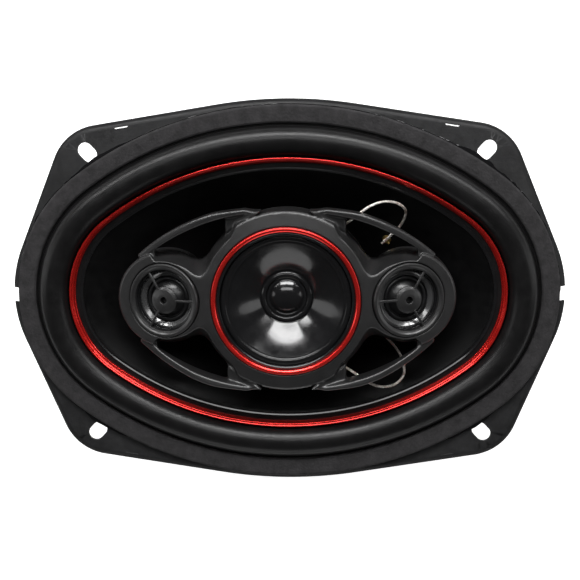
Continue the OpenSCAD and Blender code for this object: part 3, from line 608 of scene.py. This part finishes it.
def outline_loop(inset):
    """The whole edge, moved inward."""
    h = outline_half()
    h = np.concatenate([h, h[1:-1] * -1.0])
    return h[:, :2] - inset * h[:, 2:]


def slot_loop(w, l, x, y, turn, sx, sy, n=14):
    """Round-ended slot of one quarter, mirrored by the signs sx and sy."""
    a = math.radians(turn)
    pts = []
    for side in (1, -1):
        for k in range(n + 1):
            t = -math.pi / 2 + math.pi * k / n
            px, py = side * ((l - w) / 2 + w / 2 * math.cos(t)), side * w / 2 * math.sin(t)
            turned = px * math.cos(a) - py * math.sin(a), px * math.sin(a) + py * math.cos(a)
            pts.append((sx * (x + turned[0]), sy * (y + turned[1])))
    return np.array(pts)


def inside(loop, p):
    """Which points lie inside a closed loop."""
    x, y = p[:, 0], p[:, 1]
    result = np.zeros(len(p), bool)
    for (x0, y0), (x1, y1) in zip(loop, np.roll(loop, -1, axis=0)):
        if y0 == y1:
            continue
        crossing = (y0 > y) != (y1 > y)
        result ^= crossing & (x < (x1 - x0) * (y - y0) / (y1 - y0) + x0)
    return result


def plate(loops, z0, z1):
    """Flat plate between two heights from an outline and its holes, as a (points, faces) part."""
    points, edges = [], []
    for loop in loops:
        base = len(points)
        points += [Vector(q) for q in loop.tolist()]
        edges += [(base + k, base + (k + 1) % len(loop)) for k in range(len(loop))]
    made = delaunay_2d_cdt(points, edges, [], 0, 1e-4)
    p = np.array([q[:] for q in made[0]])
    tri = np.array([f for f in made[2] if len(f) == 3])
    middle = p[tri].mean(1)
    keep = inside(loops[0], middle)
    for loop in loops[1:]:
        keep &= ~inside(loop, middle)
    tri = tri[keep]
    n = len(p)
    v = np.concatenate([np.column_stack([p, np.full(n, z1)]), np.column_stack([p, np.full(n, z0)])])
    f = [tuple(t) for t in tri.tolist()] + [tuple(t[::-1]) for t in (tri + n).tolist()]
    sides = [(t[k], t[(k + 1) % 3]) for t in tri.tolist() for k in range(3)]
    known = set(sides)
    f += [(b, a, a + n, b + n) for a, b in sides if (b, a) not in known]
    used = sorted({i for q in f for i in q})
    index = {i: k for k, i in enumerate(used)}
    return v[used], [tuple(index[i] for i in q) for q in f]


slots, clips = [], []
for sx in (1, -1):
    for sy in (1, -1):
        slots.append(slot_loop(6.4, 9.0, 83.5, 60.6, 47, sx, sy))
        clips.append(slot_loop(1.1, 6.0, 69.0, 71.2, -9, sx, sy, 3))
top = plate([outline_loop(BEND), oval_line(OPENING), *slots, *clips], FLANGE_BACK, FLANGE_TOP)


def bend_arc(radius, z):
    """Section of the sheet where it turns down at the edge, as (inset, height) from the flat outward."""
    turns = [math.pi / 2 * k / 8 for k in range(9)]
    return [(BEND - radius * math.sin(a), z - radius * (1 - math.cos(a))) for a in turns]


bend = bend_arc(BEND, FLANGE_TOP) + [(0.0, 0.15), (0.15, 0.0), (STEEL - 0.15, 0.0), (STEEL, 0.15)]
bend = np.array(bend + bend_arc(BEND - STEEL, FLANGE_BACK)[::-1])
half = outline_half()
half = half[np.abs(half[:, 1]) > NOTCH + 0.05]
reach = math.sqrt(END_R ** 2 - NOTCH ** 2)
start = np.array([[END_C[0] + reach, NOTCH, reach / END_R, NOTCH / END_R]])
half = np.concatenate([start, half, start * np.array([-1, 1, -1, 1])])
rim = []
for turn in (1, -1):
    h = half * turn
    xy = h[:, None, :2] - bend[None, :, :1] * h[:, None, 2:]
    v = np.concatenate([xy, np.tile(bend[:, 1], (len(h), 1))[..., None]], -1).reshape(-1, 3)
    rim.append((v, capped_faces(len(h), len(bend))))
make("flange_plate", [top, *rim], "black_steel", replaces=["basket_flange"], sharp=30)

wall = oval_sweep(rounded([
    (OPENING, FLANGE_TOP), (104, 2.5), (103, 1.0), (98.8, -15.2), (94.5, -16.6), (94.5, -17.8),
    (99.4, -16.6), (100, -15.8),     (104.2, 0.6), (OPENING, FLANGE_BACK)], 0.5))
make("flange_wall", wall, "black_steel")

# The bowl runs from an oval of half length BOWL_X below the flange (s = 0) to a circle at the pan (s = 1).
LEGS = [0, 41, 90, 139, 180, 221, 270, 319]
BOWL_X, BOWL_R, BOWL_SLANT = 95.5, 56.5, 49.0
WINDOW_CORNER = 5.0


def bowl_r(t, s):
    """Radius of the bowl in direction t (radians)."""
    return (1 - s) * oval_r(BOWL_X, t) + s * BOWL_R + 3.2 * np.sin(math.pi * s)


def bowl_z(s):
    """Height of the bowl."""
    return (1 - s) * -16.9 + s * -44.9 - 2.6 * np.sin(math.pi * s) * (1 - s)


def leg_half(k, s):
    """Half the width of leg k; the two on the long axis are slimmer."""
    return (1 - s) * (9.0 if LEGS[k % 8] % 180 == 0 else 11.0) + s * 7.5


def window_distance(t, s):
    """How far outside the nearest window's edge, in millimetres; negative inside a window."""
    out = np.full(np.broadcast(t, s).shape, 1e3)
    for k in range(8):
        a = math.radians(LEGS[k])
        b = math.radians(LEGS[(k + 1) % 8] + (360 if k == 7 else 0))
        lo = a + np.arcsin(leg_half(k, s) / ((1 - s) * oval_r(BOWL_X, a) + s * BOWL_R))
        hi = b - np.arcsin(leg_half(k + 1, s) / ((1 - s) * oval_r(BOWL_X, b) + s * BOWL_R))
        tt = np.where(t < a - 0.3, t + 2 * math.pi, t)
        r = bowl_r(t, s)
        side = np.minimum((tt - lo) * r, (hi - tt) * r)
        height = np.minimum((s - 0.115) * BOWL_SLANT, (0.885 - s) * BOWL_SLANT)
        ca, cb = WINDOW_CORNER - side, WINDOW_CORNER - height
        corner = WINDOW_CORNER - np.hypot(ca, cb)
        depth = np.where((ca > 0) & (cb > 0), corner, np.minimum(side, height))
        out = np.minimum(out, -depth)
    return out


NU, NV = 560, 44
gu, gv = np.meshgrid(np.arange(NU) / NU * 2 * math.pi, np.arange(NV) / (NV - 1), indexing="ij")


def bowl_point(i, j):
    """Point of the bowl at a grid place, with a lip round the windows and a hollow along each leg."""
    t, s = i / NU * 2 * math.pi, j / (NV - 1)
    d = window_distance(t, s)
    lip = 1.5 * ease((3.2 - d) / 3.0)
    rib = 0.9 * ease((d - 4.2) / 2.0) * ease((s - 0.12) / 0.12) * ease((0.88 - s) / 0.12)
    r = bowl_r(t, s) + lip - rib
    return np.stack([r * np.cos(t), r * np.sin(t), bowl_z(s) - 0.5 * (lip - rib)], -1)


bowl = make("leg_shell", trimmed_surface(window_distance(gu, gv), bowl_point), "black_steel",
            replaces=["basket_legs"], sharp=None)
thick = bowl.modifiers.new("sheet", "SOLIDIFY")
thick.thickness = STEEL * MM
thick.offset = 1.0
soft = bowl.modifiers.new("edge", "BEVEL")
soft.width = 0.22 * MM
soft.segments = 2
soft.limit_method = "ANGLE"
soft.angle_limit = math.radians(60)

pan = lathe(rounded([
    (60, -46.2), (59, -44.2), (58.2, -44), (48.4, -44), (46, -53), (19, -53), (19, -54.2), (47, -54.2),
    (49.3, -45.2), (57.6, -45.2), (58.8, -46.4)], 0.7), 160)
make("pan_plate", pan, "black_steel", replaces=["basket_pan"])


# ---- gasket, surround, ring, cone

GASKET_X = 115
make("gasket_band", oval_sweep(rounded([
    (107.5, 3.5), (GASKET_X, 3.5), (GASKET_X, 5.1, 0.4), (114.2, 5.5, 0.6), (108.3, 5.45, 0.6),
    (107.5, 5.0, 0.4)], 0.2)), "gasket_foam", replaces=["front_gasket"])

rng = np.random.default_rng(6)
fine_oval = oval_stations(220, 160)
stations = len(fine_oval[0])
theta = np.arange(stations) / stations * 2 * math.pi
ragged = np.zeros(stations)
for turns in range(3, 150):
    ragged += rng.normal() * turns ** -0.35 * np.cos(turns * theta + rng.uniform(0, 6.3))
ragged = ragged / np.abs(ragged).max()
at = oval_line(GASKET_X, fine_oval)
near_slot = np.exp(-(np.hypot(np.abs(at[:, 0]) - 80, np.abs(at[:, 1]) - 57) / 11.0) ** 2)
reach = 0.35 + 0.55 * np.clip(ragged + 0.1, 0, 1) + near_slot * (1.1 + 0.7 * ragged)
lift = 0.18 + 0.55 * np.clip(np.roll(ragged, 31) + 0.1, 0, 1) + 0.25 * near_slot
cloth = []
for out, rise in ((-0.6, 0.0), (0.9, 0.0), (1.0, 0.25), (0.96, 0.9), (0.8, 1.0), (0.45, 0.75), (0.1, 0.8),
                  (-0.6, 0.8)):
    half_length = GASKET_X + np.where(out < 0, out, out * reach)
    cloth.append(np.column_stack([oval_line(half_length, fine_oval), FLANGE_TOP + 0.02 + rise * lift]))
cloth = np.stack(cloth, 1)
make("cloth_edge", (cloth.reshape(-1, 3), grid_faces(stations, cloth.shape[1])), "gloss_black")

line = [(87.9, 1.2), (92.7, 1.2), (93.6, 1.35), (94.15, 2.2), (94.15, 3.2)]
line += arch(100.2, 3.2, 6.05, 6.05, 24, skip=1)
line += [(106.3, 3.25), (107.4, 3.24), (114.0, 3.24)]
half_thick = np.where(np.array(line)[:, 0] > 106, 0.22, 0.32)[:, None]
surround = make("surround_roll", oval_sweep(sheet(line, half_thick)), "surround_rubber", body=None,
                replaces=["woofer_surround"], sharp=60)


def oval_x(p):
    """The half length of the oval that passes through each point."""
    lo, hi = np.full(len(p), 60.0), np.full(len(p), 125.0)
    t, r = np.arctan2(p[:, 1], p[:, 0]), np.hypot(p[:, 0], p[:, 1])
    for _ in range(30):
        mid = (lo + hi) / 2
        big = oval_r(mid, t) > r
        hi, lo = np.where(big, mid, hi), np.where(big, lo, mid)
    return (lo + hi) / 2


follow(surround, ease((106.4 - oval_x(coords(surround))) / 12.4))

make("cone_ring", oval_sweep(rounded([
    (91.0, 1.5), (92.4, 1.5), (93.2, 5.0, 0.2), (93.15, 5.45), (92.8, 5.6, 0.35), (92.3, 5.35, 0.2),
    (92.2, 4.5, 0.1), (91.9, 4.35, 0.3), (91.45, 3.9, 0.2), (91.3, 2.9, 0.1), (91.05, 2.7, 0.2),
    (91.0, 2.2)], 0.2)),
    "red_trim", WOOFER, ["cone_trim_ring"])


MOUTH_X, THROAT_R = 88.0, 16.35


def cone_face(t, s):
    """Radius and height of the cone's front in direction t, from the mouth (s = 0) to the throat (1)."""
    return (1 - s) * oval_r(MOUTH_X, t) + s * THROAT_R, 0.9 - 38.9 * (0.8 * s + 0.2 * s * s)


def cone_part():
    """Thin cone that goes from an oval mouth with a flat rim to a round throat."""
    t = np.linspace(0, 2 * math.pi, 256, endpoint=False)
    rim = [(oval_r(92.9, t), 0.25), (oval_r(92.9, t), 0.85)]
    front = [cone_face(t, s) for s in np.linspace(0, 1, 41)]
    back = [(r - 0.21, z - 0.7) for r, z in front[::-1]]
    rows = rim + front + back
    v = np.stack([np.stack([r * np.cos(t), r * np.sin(t), np.full(len(t), z)], -1) for r, z in rows], 1)
    return v.reshape(-1, 3), grid_faces(len(t), len(rows))


throat = lathe(rounded([(15.85, -41), (16.95, -41), (16.95, -37.4), (15.85, -37.4)], 0.2), 96)
make("cone_body", [cone_part(), throat], "cone_poly", WOOFER, ["woofer_cone"], sharp=50)

make("lip_bead", oval_sweep([
    (MOUTH_X, 1.2), (MOUTH_X, 1.5), (88.35, 1.6), (88.87, 1.84), (89.1, 1.84), (89.1, 1.2)]),
    "gloss_black", WOOFER, sharp=5)


def corrugated(r_in, r0, r1, r_out, z, waves, height, thick, neck):
    """Section of a spider: a disc with waves between r0 and r1 and a short neck round the coil."""
    r = np.linspace(r0, r1, 14 * waves + 1)
    wave = height * np.sin(2 * math.pi * waves * (r - r0) / (r1 - r0))
    upper = [(r_in, z + thick)] + list(zip(r, z + thick + wave)) + [(r_out, z + thick)]
    lower = [(r_out, z)] + list(zip(r[::-1], z + wave[::-1]))
    return np.array(upper + lower + [(r_in + 0.7, z), (r_in + 0.7, z - neck), (r_in, z - neck)])


spider = make("spider_disc", lathe(corrugated(15.9, 18.5, 47.5, 57, -44, 6, 1.5, 0.5, 2)), "spider_cloth",
              body=None, replaces=["woofer_spider"])
follow_round(spider, 47.5, 18.5)


# ---- bridge housing

# Each tweeter's pod leans outward by TILT, and its face crosses the pod's axis at height POD_Z. The ring
# under the midrange is the hub. An arm starts at angle ARM_FROM and ends at ARM_TO, seen from its centre.
TILT = math.radians(18)
CT, ST, TT = math.cos(TILT), math.sin(TILT), math.tan(TILT)
POD_X, POD_Z, POD_R = 51.0, 17.5, 20.0
HUB_R, HUB_TOP, FLOOR_Z = 37.5, 21.4, 4.0
ARM_X, ARM_Y, ARM_R, ARM_W = 7.1, -43.2, 82.7, 3.0
ARM_FROM, ARM_TO = 48.0, 86.8
ARM_TOP, ARM_FLOOR, WEB_FLOOR = 20.6, 11.0, 10.4
BOSS_X, BOSS_Y = 17.0, 33.4


def smin(a, b, k):
    """Smaller of two distances, with the corner between them rounded over about k."""
    h = np.clip(0.5 + 0.5 * (b - a) / k, 0, 1)
    return b + (a - b) * h - k * h * (1 - h)


def smax(a, b, k):
    """Larger of two distances, with the corner between them rounded over about k."""
    return -smin(-a, -b, k)


def solid(d2, top, bottom, r):
    """Outline distance, distance above the top and distance below the bottom, joined with a round edge."""
    a = d2 + r
    b = np.maximum(top, bottom) + r
    return np.minimum(np.maximum(a, b), 0) + np.hypot(np.maximum(a, 0), np.maximum(b, 0)) - r


def facing(ax):
    """1 where the housing slopes down beside the pods, 0 near the axis and past the pods' middles."""
    return ease((ax - 17.0) / 6.0) * ease((58.5 - ax) / 5.0)


def centre_and_pods(ax, ay, z, face):
    """Hub and pods as one solid, with chamfered edges and a slope from the rings down to the wall."""
    r, rp = np.hypot(ax, ay), np.hypot(ax - POD_X, ay)
    base2 = smin(r - HUB_R, rp - POD_R, 8.0)
    crown = 0.15 * np.maximum(r - 31.0, 0) * ease((ay - 9.0) / 9.0)
    low = smin(HUB_TOP - crown, face, 0.8)
    tilted = np.clip((ax - HUB_R) / 2.5, 0, 1)
    top = (z - low) * (1 - tilted + tilted * CT)
    f = solid(base2, top, FLOOR_Z - z, 0.7)
    f = smax(f, 0.559 * base2 + 0.829 * top + 0.45, 0.12)
    shoulder = 2.8 + 0.8 * np.clip((ax - 40.0) / 6.0, 0, 1)
    slope = 0.945 * (base2 + shoulder) + 0.326 * (z - low)
    return smax(f, slope - 5.0 * (1 - facing(ax)), 0.45)


def arm_solid(ax, ay, z, rho, face):
    """Curved arm from the hub's corner to the pod's outer end."""
    middle = ARM_R - ARM_W / 2
    ang = np.degrees(np.arctan2(ay - ARM_Y, ax - ARM_X))
    across = np.abs(rho - middle) - ARM_W / 2
    past = np.maximum(ang - ARM_TO, ARM_FROM - ang) * math.radians(middle)
    arm2 = solid(across, past, past, 0.9)
    # Two straight cuts flatten the arm's outer edge near its crest.
    arm2 = smax(arm2, 0.1224 * (ax - 16.7) + 0.9925 * (ay - 38.1), 0.5)
    arm2 = smax(arm2, -0.2007 * (ax - 16.7) + 0.9796 * (ay - 38.1), 0.5)
    arm_top = smin(ARM_TOP - 0.16 * np.clip(ARM_R - rho, 0, 3.2), face - 1.3, 1.2)
    arm = solid(arm2, z - arm_top, ARM_FLOOR - z, 0.9)
    return smax(arm, 0.5 * (rho - ARM_R) + 0.866 * (z - arm_top) + 0.38, 0.1)


def webbed(f, ax, ay, z, rho, face):
    """Adds the web from hub to arm, the ledge from pod to arm, and the screw boss with its hole."""
    r, rp = np.hypot(ax, ay), np.hypot(ax - POD_X, ay)
    inner = ease((ax - 16) / 6)
    notch = -0.5625 * (ax - 10.6) - 0.8268 * (ay - 36.85)
    web2 = smax(smax(rho - 80.7, 36.0 - r, 1.0), smax(ax - 25.0, notch, 0.3), 0.4 + 3.0 * inner)
    web = solid(web2, z - (20.3 - 0.38 * (ax - 14.0)), WEB_FLOOR - z, 0.8)
    f = smin(f, web, 0.7 + 1.2 * inner)
    ledge2 = smax(smax(rho - 80.9, 18.0 - rp, 1.0), smax(54.6 - ax, ax - 62, 1.0), 1.0)
    f = smin(f, solid(ledge2, z - (face - 1.8), WEB_FLOOR - z, 0.8), 0.8)
    from_boss = np.hypot(ax - BOSS_X, ay - BOSS_Y)
    f = smin(f, solid(from_boss - 3.4, z - 12.0, FLOOR_Z - z, 0.3), 0.4)
    return np.maximum(f, 1.3 - np.hypot(from_boss, np.maximum(z - 9.5, 0)))


def hollowed(f, ax, ay, z):
    """Cuts the bores and seats of the midrange and of the tweeters, and the hollows behind them."""
    r = np.hypot(ax, ay)
    f = smax(f, -np.maximum(r - 29.7, 15.0 - z), 0.3)
    f = smax(f, -np.maximum(r - 31.15, 18.2 - z), 0.5)
    f = smax(f, -np.maximum(r - 35.1, z - 16.4), 0.5)
    px = ax - POD_X
    lz = px * ST + (z - POD_Z) * CT
    lx = px * CT - (z - POD_Z) * ST
    rad = np.hypot(lx, ay)
    f = smax(f, -np.maximum(rad - 15.75, -3.3 - lz), 0.5)
    f = smax(f, -np.maximum(rad - 13.6, np.maximum(-8.4 - lz, lz - 1.6)), 0.3)
    return smax(f, -np.maximum(np.hypot(px, ay) - 18.0 + 2.3 * facing(ax), lz + 2.4), 0.4)


def housing(x, y, z):
    """Rough distance to the bridge housing, negative inside; the four quarters are alike."""
    ax, ay = np.abs(x), np.abs(y)
    face = POD_Z - (ax - POD_X) * TT
    rho = np.hypot(ax - ARM_X, ay - ARM_Y)
    f = smin(centre_and_pods(ax, ay, z, face), arm_solid(ax, ay, z, rho, face), 0.5)
    return hollowed(webbed(f, ax, ay, z, rho, face), ax, ay, z)


v, faces, normals = surface_net(housing, (-72.6, -41.3, 3.1), (72.6, 41.3, 22.4), 0.55)
make("bridge_body", (v, faces.tolist()), "bridge_plastic", replaces=["bridge_housing"], sharp=None,
     normals=normals, fix=False)


# ---- midrange

make("mid_ring", lathe(rounded([
    (28.9, 20.6), (30.9, 20.6), (30.9, 21.5), (30.6, 21.9), (30.2, 22.0), (29.5, 21.9), (29.1, 21.65),
    (28.9, 21.3)], 0.2), 192), "red_trim", replaces=["midrange_trim_ring"])
make("mid_frame", lathe(rounded([
    (27.4, 19, 0.1), (27.45, 20.6, 0.12), (28.2, 20.9, 0.3), (28.8, 20.6, 0.1), (31, 20.6, 0.1),
    (31, 18.2, 0.1), (29.6, 18.2), (20, 4.2), (19.6, 3), (9.6, 3), (9.6, 4), (16.2, 4), (16.2, 5.4),
    (19, 5.4), (27.2, 17.6, 0.1)], 0.3), 192), "gloss_black", replaces=["midrange_frame"])

roll = [(24.0, 18.05), (24.7, 18.1), (24.95, 18.3), *arch(26.05, 18.32, 0.98, 0.34, 12), (27.15, 18.35)]
mid_surround = make("mid_roll", lathe(sheet(roll, 0.14), 192), "gloss_black", body=None,
                    replaces=["midrange_surround"], sharp=70)
follow_round(mid_surround, 27.0, 25.0)

face = curve_through([(24.9, 17.88), (20, 15.25), (15.5, 12.45), (11.3, 9.5)], 10)
neck = rounded([
    (11.0, 9.4), (10.7, 9.95, 0.5), (9.8, 10.4, 0.7), (8.9, 10.2, 0.5), (8.5, 9.3, 0.3), (8, 8.8, 0.1),
    (8, 6.2, 0.1), (8.5, 6.2, 0.1), (8.6, 7.6, 0.3)], 0.3, closed=False)
rear = curve_through([(11, 8.7), (15.7, 11.85), (20.2, 14.7), (25, 17.4)], 10)
make("mid_cone", lathe(np.concatenate([face, neck, rear]), 192), "gloss_black", MID, ["midrange_cone"],
     sharp=50)


def cap(rim_r, z, sphere_r, thick, n=18):
    """Thin spherical cap whose rim is at height z, as a closed section starting and ending on the axis."""
    a = math.asin(rim_r / sphere_r)
    c = z - sphere_r * math.cos(a)

    def arc(r):
        return [(r * math.sin(a * k / n), c + r * math.cos(a * k / n)) for k in range(n + 1)]

    return np.array(arc(sphere_r) + arc(sphere_r - thick)[::-1])


skirt = rounded([(7.2, 9.22), (8.35, 9.22), (8.35, 9.42), (7.5, 9.5), (7.2, 9.4)], 0.06, 2)
make("mid_dome", [lathe(cap(7.5, 9.3, 11.6, 0.4), wrap=False), lathe(skirt)],
     "gloss_black", MID, ["midrange_dust_dome"])

mid_spider = make("mid_spider_disc", lathe(corrugated(8.05, 9.4, 15.8, 18.2, 5.4, 3, 0.5, 0.3, 0.6), 96),
                  "spider_cloth", body=None, replaces=["midrange_spider"])
follow_round(mid_spider, 15.8, 9.4)


# ---- tweeters

ring = lathe(rounded([
    (13.1, -2), (15.5, -2), (15.5, 0.1), (15.15, 0.6), (14.35, 0.6, 0.12), (13.75, 0.2, 0.12),
    (13.1, 0.0, 0.1)], 0.3), 160)
disc = lathe(rounded([
    (1.45, -1.6, 0.1), (5.5, -1.6), (5.8, -1.1), (5.6, -0.6), (4.4, -0.1), (2.6, 0.15), (1.45, 0.2, 0.3)],
    0.35), 96)
cup = lathe(rounded([
    (12.4, -2), (15.5, -2), (15.5, -3.2), (13.4, -3.2), (13.4, -8), (9.5, -8), (9.5, -6.8), (12.4, -6.8)],
    0.15))
horn = lathe(rounded([
    (9.8, -5.2), (12.4, -5.2), (12.4, -3.5), (11.5, -3.05, 0.35), (9.9, -4.15, 0.15), (9.8, -4.4)],
    0.1, 6), 160)
hoop = lathe(sheet([(7.45, -5.18), (7.62, -5.16), *arch(8.6, -5.2, 0.87, 0.87, 10), (9.6, -5.34),
                    (12.3, -5.36)], 0.1))
dome = lathe(cap(7.55, -5.2, 10.2, 0.3), 112, wrap=False)

for side, word, turn in ((-1, "left", 0), (1, "right", 60)):
    body = word + "_tweeter_moving"
    pod = np.array(Matrix.Translation((side * POD_X, 0, POD_Z)) @ Matrix.Rotation(side * TILT, 4, "Y"))
    spokes = []
    for k in range(3):
        spin = np.array(Matrix.Rotation(math.radians(120 * k + turn), 4, "Z"))
        spokes.append(moved(box_mesh((5.0, -0.5, -1.35), (13.5, 0.5, -0.35), 0.28, 3), spin))
    make(word + "_guard", [moved(q, pod) for q in (ring, disc, *spokes)], "bridge_plastic",
         replaces=[word + "_tweeter_guard"])
    make(word + "_tweeter_cup", moved(cup, pod), "gloss_black", replaces=[word + "_tweeter_frame"])
    make(word + "_horn_ring", moved(horn, pod), "tweeter_ring", replaces=[word + "_tweeter_face_ring"])
    edge = make(word + "_hoop", moved(hoop, pod), "tweeter_film", body=None,
                replaces=[word + "_tweeter_surround"], sharp=70)
    p = coords(edge) - pod[:3, 3]
    follow(edge, ease((9.4 - np.hypot(p @ pod[:3, 0], p[:, 1])) / 1.7))
    make(word + "_dome", moved(dome, pod), "tweeter_film", body, [word + "_tweeter_dome"])


# ---- leads

def resample(path, n):
    """n points at even spacing along a path."""
    d = np.concatenate([[0], np.cumsum(np.linalg.norm(np.diff(path, axis=0), axis=1))])
    s = np.linspace(0, d[-1], n)
    return np.stack([np.interp(s, d, path[:, k]) for k in range(3)], -1)


def tube(centre, radius, sides):
    """Tube along a path, as a (points, faces) part, with the two directions across it at each point."""
    n = len(centre)
    t = np.gradient(centre, axis=0)
    t /= np.linalg.norm(t, axis=1)[:, None]
    u = np.empty_like(t)
    u[0] = np.cross(t[0], (0.11, 0.93, 0.35))
    u[0] /= np.linalg.norm(u[0])
    for i in range(1, n):
        q = u[i - 1] - t[i] * (u[i - 1] @ t[i])
        u[i] = q / np.linalg.norm(q)
    w = np.cross(t, u)
    a = np.linspace(0, 2 * math.pi, sides, endpoint=False)
    spread = np.cos(a)[None, :, None] * u[:, None] + np.sin(a)[None, :, None] * w[:, None]
    v = centre[:, None] + radius * spread
    return (v.reshape(-1, 3), capped_faces(n, sides)), u, w


def braid(path, r, lay=3.4, strands=6):
    """Tinsel lead of strands wound both ways round a core, and how far along it each point is."""
    length = np.linalg.norm(np.diff(path, axis=0), axis=1).sum()
    n = int(length / 0.42)
    c = resample(path, n)
    core, u, w = tube(c, r * 0.62, 8)
    parts, along = [core], [np.repeat(np.linspace(0, 1, n), 8)]
    s = np.linspace(0, length, n)
    for way in (1, -1):
        for k in range(strands // 2):
            a = way * 2 * math.pi * s / lay + 2 * math.pi * k / (strands // 2)
            weave = np.cos(strands * 2 * math.pi * s / lay + way * math.pi / 2)
            out = r * (0.80 + 0.07 * weave)
            line = c + out[:, None] * (np.cos(a)[:, None] * u + np.sin(a)[:, None] * w)
            parts.append(tube(line, r * 0.24, 5)[0])
            along.append(np.repeat(np.linspace(0, 1, n), 5))
    return parts, np.concatenate(along)


def cone_point(degrees, s):
    """Point of the cone's front face."""
    a = math.radians(degrees)
    r, z = cone_face(a, s)
    return np.array([r * math.cos(a), r * math.sin(a), z])


SLOPE = math.radians(33.1)


def leg_point(x, y, z):
    """Point beside the leg at +X: x up along the leg, y across it and z out of it."""
    return (80.5 + x * math.cos(SLOPE) - z * math.sin(SLOPE), y,
            -32.9 + x * math.sin(SLOPE) + z * math.cos(SLOPE))


# Each pair of leads meets at an eyelet in the cone. out_of_cone is the cone's normal there.
EYELET_AT = 26
eyelet = cone_point(EYELET_AT, 0.46)
lean, around = math.radians(31), math.radians(EYELET_AT)
out_of_cone = np.array([
    -math.sin(lean) * math.cos(around), -math.sin(lean) * math.sin(around), math.cos(lean)])
front_path = curve_through([
    (21, 29, 9.5), (24.6, 30.6, 8.4), (29, 33.6, 7.8), (34, 37.4, 7.4), (40, 39.6, 6.8), (46, 39, 5),
    (50, 35.5, 1), (49.6, 30.5, -4.4), (46.6, 25.6, -8.6), eyelet + 4.6 * out_of_cone,
    eyelet + 1.9 * out_of_cone], 8)
back_path = curve_through([
    eyelet - 2.5 * out_of_cone, eyelet - 6 * out_of_cone + np.array([1, -0.5, 0]), (56, 18.5, -27.5),
    (67, 15, -31), leg_point(-3, 12, 3.6), leg_point(4, 10.8, 2.6), leg_point(8, 10.5, 1),
    leg_point(8.2, 10.5, -1.9)], 8)
for sign, word in ((1, "positive"), (-1, "negative")):
    for path, kind, flip in ((front_path, "bridge", False), (back_path, "woofer", True)):
        parts, along = braid(path * np.array([1, sign, 1.0]), 0.56)
        lead = make(word + "_" + kind + "_braid", parts, "tinsel", body=None,
                 replaces=[word + "_" + kind + "_lead"], sharp=60, fix=False)
        follow(lead, ease(1 - along if flip else along))


# ---- carried-over CAD nodes

for name, node in frame["nodes"].items():
    if node.hide_render:
        continue
    slot = SLOT_OF.get(name)
    if slot is None:
        raise RuntimeError("no slot for " + name)
    node.data.materials.clear()
    node.data.materials.append(MAT[slot])


# ---- floor, light, camera

scene = bpy.context.scene
scene.view_settings.view_transform = "Standard"
scene.view_settings.look = "None"

grid = bmesh.new()
bmesh.ops.create_grid(grid, x_segments=24, y_segments=24, size=4.0)
mesh = bpy.data.meshes.new("floor")
grid.to_mesh(mesh)
grid.free()
floor = bpy.data.objects.new("floor", mesh)
floor.location = (0, 0, CAD_LO.z - 0.0004)
scene.collection.objects.link(floor)
pale = bpy.data.materials.new("pale_floor")
pale.use_nodes = True
tree = pale.node_tree
shader = tree.nodes["Principled BSDF"]
shader.inputs["Roughness"].default_value = 0.9
shader.inputs["Emission Color"].default_value = (1, 1, 1, 1)
shader.inputs["Emission Strength"].default_value = 0.85
shader.inputs["Specular IOR Level"].default_value = 0.1
clouds = add(tree, "TexNoise", {"Scale": 3.0}).outputs[0]
ramp = add(tree, "MapRange", {0: clouds, "To Min": 0.86, "To Max": 0.89})
tree.links.new(ramp.outputs[0], shader.inputs["Base Color"])
mesh.materials.append(pale)

world = bpy.data.worlds.new("studio")
world.use_nodes = True
world.node_tree.nodes["Background"].inputs[0].default_value = (1, 1, 1, 1)
world.node_tree.nodes["Background"].inputs[1].default_value = 0.05
scene.world = world


def softbox(name, place, size, watts, shape="RECTANGLE"):
    """Area light that faces the origin."""
    light = bpy.data.lights.new(name, "AREA")
    light.shape = shape
    light.size, light.size_y = size
    light.energy = watts
    lamp = bpy.data.objects.new(name, light)
    lamp.location = place
    lamp.rotation_euler = (-Vector(place)).to_track_quat("-Z", "Y").to_euler()
    scene.collection.objects.link(lamp)
    return lamp


softbox("key_top", (0.0, 0.81, 0.60), (0.95, 0.20), 11.0)
softbox("front_top", (0.0, 0.27, 0.50), (0.5, 0.10), 0.9)
softbox("key_left", (-0.66, 0.68, 0.46), (0.42, 0.11), 2.4)
softbox("key_right", (0.66, 0.68, 0.46), (0.42, 0.11), 2.4)
softbox("side_left", (-0.85, 0.04, 0.31), (0.30, 0.62), 0.7, "ELLIPSE")
softbox("side_right", (0.85, 0.04, 0.31), (0.30, 0.62), 0.7, "ELLIPSE")
softbox("low_front", (0.0, -0.86, 0.28), (1.2, 0.30), 1.3, "ELLIPSE")

# The camera looks from half a metre at a point on the axis, level with the flange's front.
CAM_AZIMUTH, CAM_ELEVATION, CAM_ROLL = math.radians(2.23), math.radians(10.36), math.radians(-0.51)
CAM_DISTANCE = 0.5
cam_data = bpy.data.cameras.new("camera")
cam = bpy.data.objects.new("camera", cam_data)
scene.collection.objects.link(cam)
backward = Vector((math.sin(CAM_AZIMUTH) * math.cos(CAM_ELEVATION), math.sin(CAM_ELEVATION),
                   math.cos(CAM_AZIMUTH) * math.cos(CAM_ELEVATION)))
level = Vector((0, 1, 0)).cross(backward).normalized()
upright = backward.cross(level)
rightward = math.cos(CAM_ROLL) * level + math.sin(CAM_ROLL) * upright
upward = -math.sin(CAM_ROLL) * level + math.cos(CAM_ROLL) * upright
placed = Matrix((rightward, upward, backward)).transposed().to_4x4()
placed.translation = backward * CAM_DISTANCE + Vector((0, 0, FLANGE_TOP * MM))
cam.matrix_world = placed
cam_data.sensor_width = 36
cam_data.lens = 72.78
cam_data.shift_x = 0.0048
cam_data.shift_y = 0.0071
cam_data.clip_start = 0.01
scene.camera = cam
